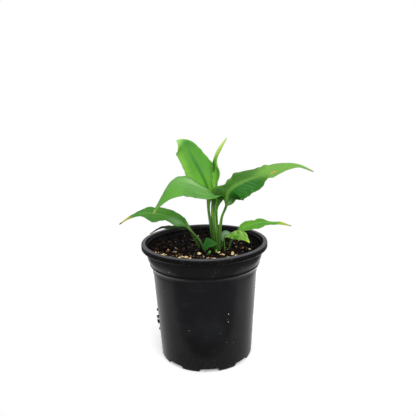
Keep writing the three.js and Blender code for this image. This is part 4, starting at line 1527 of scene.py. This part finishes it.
    def wood_chips(self, draw: random.Random) -> None:
        """Pale splinters: large ones where they lie, a drift along the front, and small ones anywhere.

        Args:
            draw: Source of the random steps.
        """
        shape = crumb_mesh()
        for x, y, length, width, turn, tint in self.large_chips:
            place = Matrix.Translation(Vector((x, y, self.level + self.relief(x, y) + 0.5)) * MM)
            spin = Matrix.Rotation(math.radians(turn), 4, "Z") @ Matrix.Rotation(draw.gauss(0, 0.2), 4, "X")
            size = Matrix.Diagonal((1.15 * length * MM, width * MM, (0.6 + 0.6 * width) * MM, 1))
            add_bit(shape, draw, place @ spin @ size, 2, 0.14 * MM, tint)
        for i in range(self.chips):
            if i % 2:
                angle = math.radians(draw.gauss(-100, 28))
                radius = self.edge() * draw.uniform(0.45, 0.93)
                at = (radius * math.cos(angle), radius * math.sin(angle))
            else:
                at = self.free_place(draw, 0.95)
            self.drop(shape, Crumb.SPLINTER, draw, at, draw.uniform(0.0, 0.9), draw.uniform(0.25, 0.7), 0.2)
        piece = loose_piece("mix_wood_chips", shape, WOOD_CHIP)
        piece.data.set_sharp_from_angle(angle=math.radians(30))


# ------------------------------------------------------------------ studio

@dataclass
class Studio:
    """A white sweep, soft light and the camera."""

    eye: Triple = (3.93, -389.6, 222.4)
    tilt_down: float = 12.47
    roll: float = -1.22
    lens: float = 38.8
    sensor: float = 36
    # The card's half width, and how far it reaches to the front and to the back, in metres.
    card: Triple = (0.17, -0.062, 0.25)
    card_colour: str = "#fcfcfc"
    # The card's painted glow, which keeps the shadow on it faint.
    card_painted_glow: float = 0.17
    # The surround's light from ahead, from behind the plant and from above, and its share below the horizon.
    sky_strengths: Triple = (0.75, 0.5, 0.35)
    below_horizon: float = 0.35
    sun_from: Triple = (0.3, -0.95, 0.6)
    sun_spread: float = 60
    sun_strength: float = 1.9

    def camera(self) -> None:
        """Sets the camera a little above the leaves, looking slightly down."""
        data = bpy.data.cameras.new("camera")
        data.lens = self.lens
        data.sensor_width = self.sensor
        data.clip_start = 0.01
        camera = bpy.data.objects.new("camera", data)
        bpy.context.scene.collection.objects.link(camera)
        tilt, roll = math.radians(self.tilt_down), math.radians(self.roll)
        ahead = Vector((0, math.cos(tilt), -math.sin(tilt)))
        level = Vector((1, 0, 0))
        above = level.cross(ahead)
        right = level * math.cos(roll) + above * math.sin(roll)
        up = above * math.cos(roll) - level * math.sin(roll)
        axes = Matrix((right, up, -ahead)).transposed()
        camera.matrix_world = Matrix.Translation(Vector(self.eye) * MM) @ axes.to_4x4()
        bpy.context.scene.camera = camera

    def floor(self) -> None:
        """A small card of matt white paper under the pot, with a faint painted glow that lifts the shadows on
        it.
        """
        shape = bmesh.new()
        bmesh.ops.create_grid(shape, x_segments=1, y_segments=1, size=1.0)
        half_width, front, back = self.card
        for vertex in shape.verts:
            vertex.co.x *= half_width
            vertex.co.y = front if vertex.co.y < 0 else back
        sheet = Sheet("white_paper_sweep")
        fibre = sheet.add("TexNoise", grain(sheet.add("TexCoord").outputs["Object"], 4, 3))
        faint = sheet.add(EASED, fibre, 0.2, 0.8, 0.0, 0.05)
        material = sheet.finish({
            "Base Color": sheet.paint(linear(self.card_colour), (faint, "#f0f0f0")), "Roughness": 0.9,
            "Specular IOR Level": 0.1, "Emission Color": (1, 1, 1, 1), "Emission Strength": self.card_painted_glow,
        })
        to_object("floor", shape, [material])

    def sun(self) -> None:
        """One soft, even light from the front, like a large softbox."""
        data = bpy.data.lights.new("key", "SUN")
        data.angle = math.radians(self.sun_spread)
        data.energy = self.sun_strength
        lamp = bpy.data.objects.new("key", data)
        bpy.context.scene.collection.objects.link(lamp)
        lamp.rotation_euler = (-Vector(self.sun_from)).to_track_quat("-Z", "Y").to_euler()

    def sky(self) -> None:
        """White surroundings: seen pure white, and lighting the plant from above and behind."""
        world = bpy.data.worlds.new("white_surround")
        bpy.context.scene.world = world
        world.use_nodes = True
        tree = world.node_tree
        tree.nodes.clear()
        ahead, behind, above = self.sky_strengths
        way = add_node(tree, "SeparateXYZ", add_node(tree, "TexCoord").outputs["Generated"])
        rear = add_node(tree, "MapRange", way.outputs[1], 0.1, 0.9, ahead, behind)
        over = add_node(tree, "MapRange", way.outputs[2], 0.1, 0.9, 0.0, above)
        under = add_node(tree, "MapRange", way.outputs[2], -0.15, 0.05, self.below_horizon, 1.0)
        light = add_node(tree, TIMES, add_node(tree, PLUS, rear, over), under)
        seen = add_node(tree, "LightPath").outputs["Is Camera Ray"]
        strength = add_node(tree, "Mix", {0: seen, 2: light, 3: 1.0})
        background = add_node(tree, "Background", (1, 1, 1, 1), strength)
        add_node(tree, "OutputWorld", background)

    def build(self) -> None:
        """Sets up the whole studio."""
        self.camera()
        self.floor()
        self.sky()
        self.sun()
        bpy.context.scene.view_settings.view_transform = "Standard"


def main() -> None:
    """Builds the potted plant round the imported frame."""
    logging.basicConfig(level=logging.INFO, format="%(name)s: %(message)s")
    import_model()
    Studio().build()
    pot = NurseryPot()
    pot.build()
    WallGrit(pot).build()
    mix = PottingMix(pot)
    mix.bed()
    mix.loose()
    for piece in (*LEAVES, *BUDS):
        piece.build()


if __name__ == "__main__":
    main()
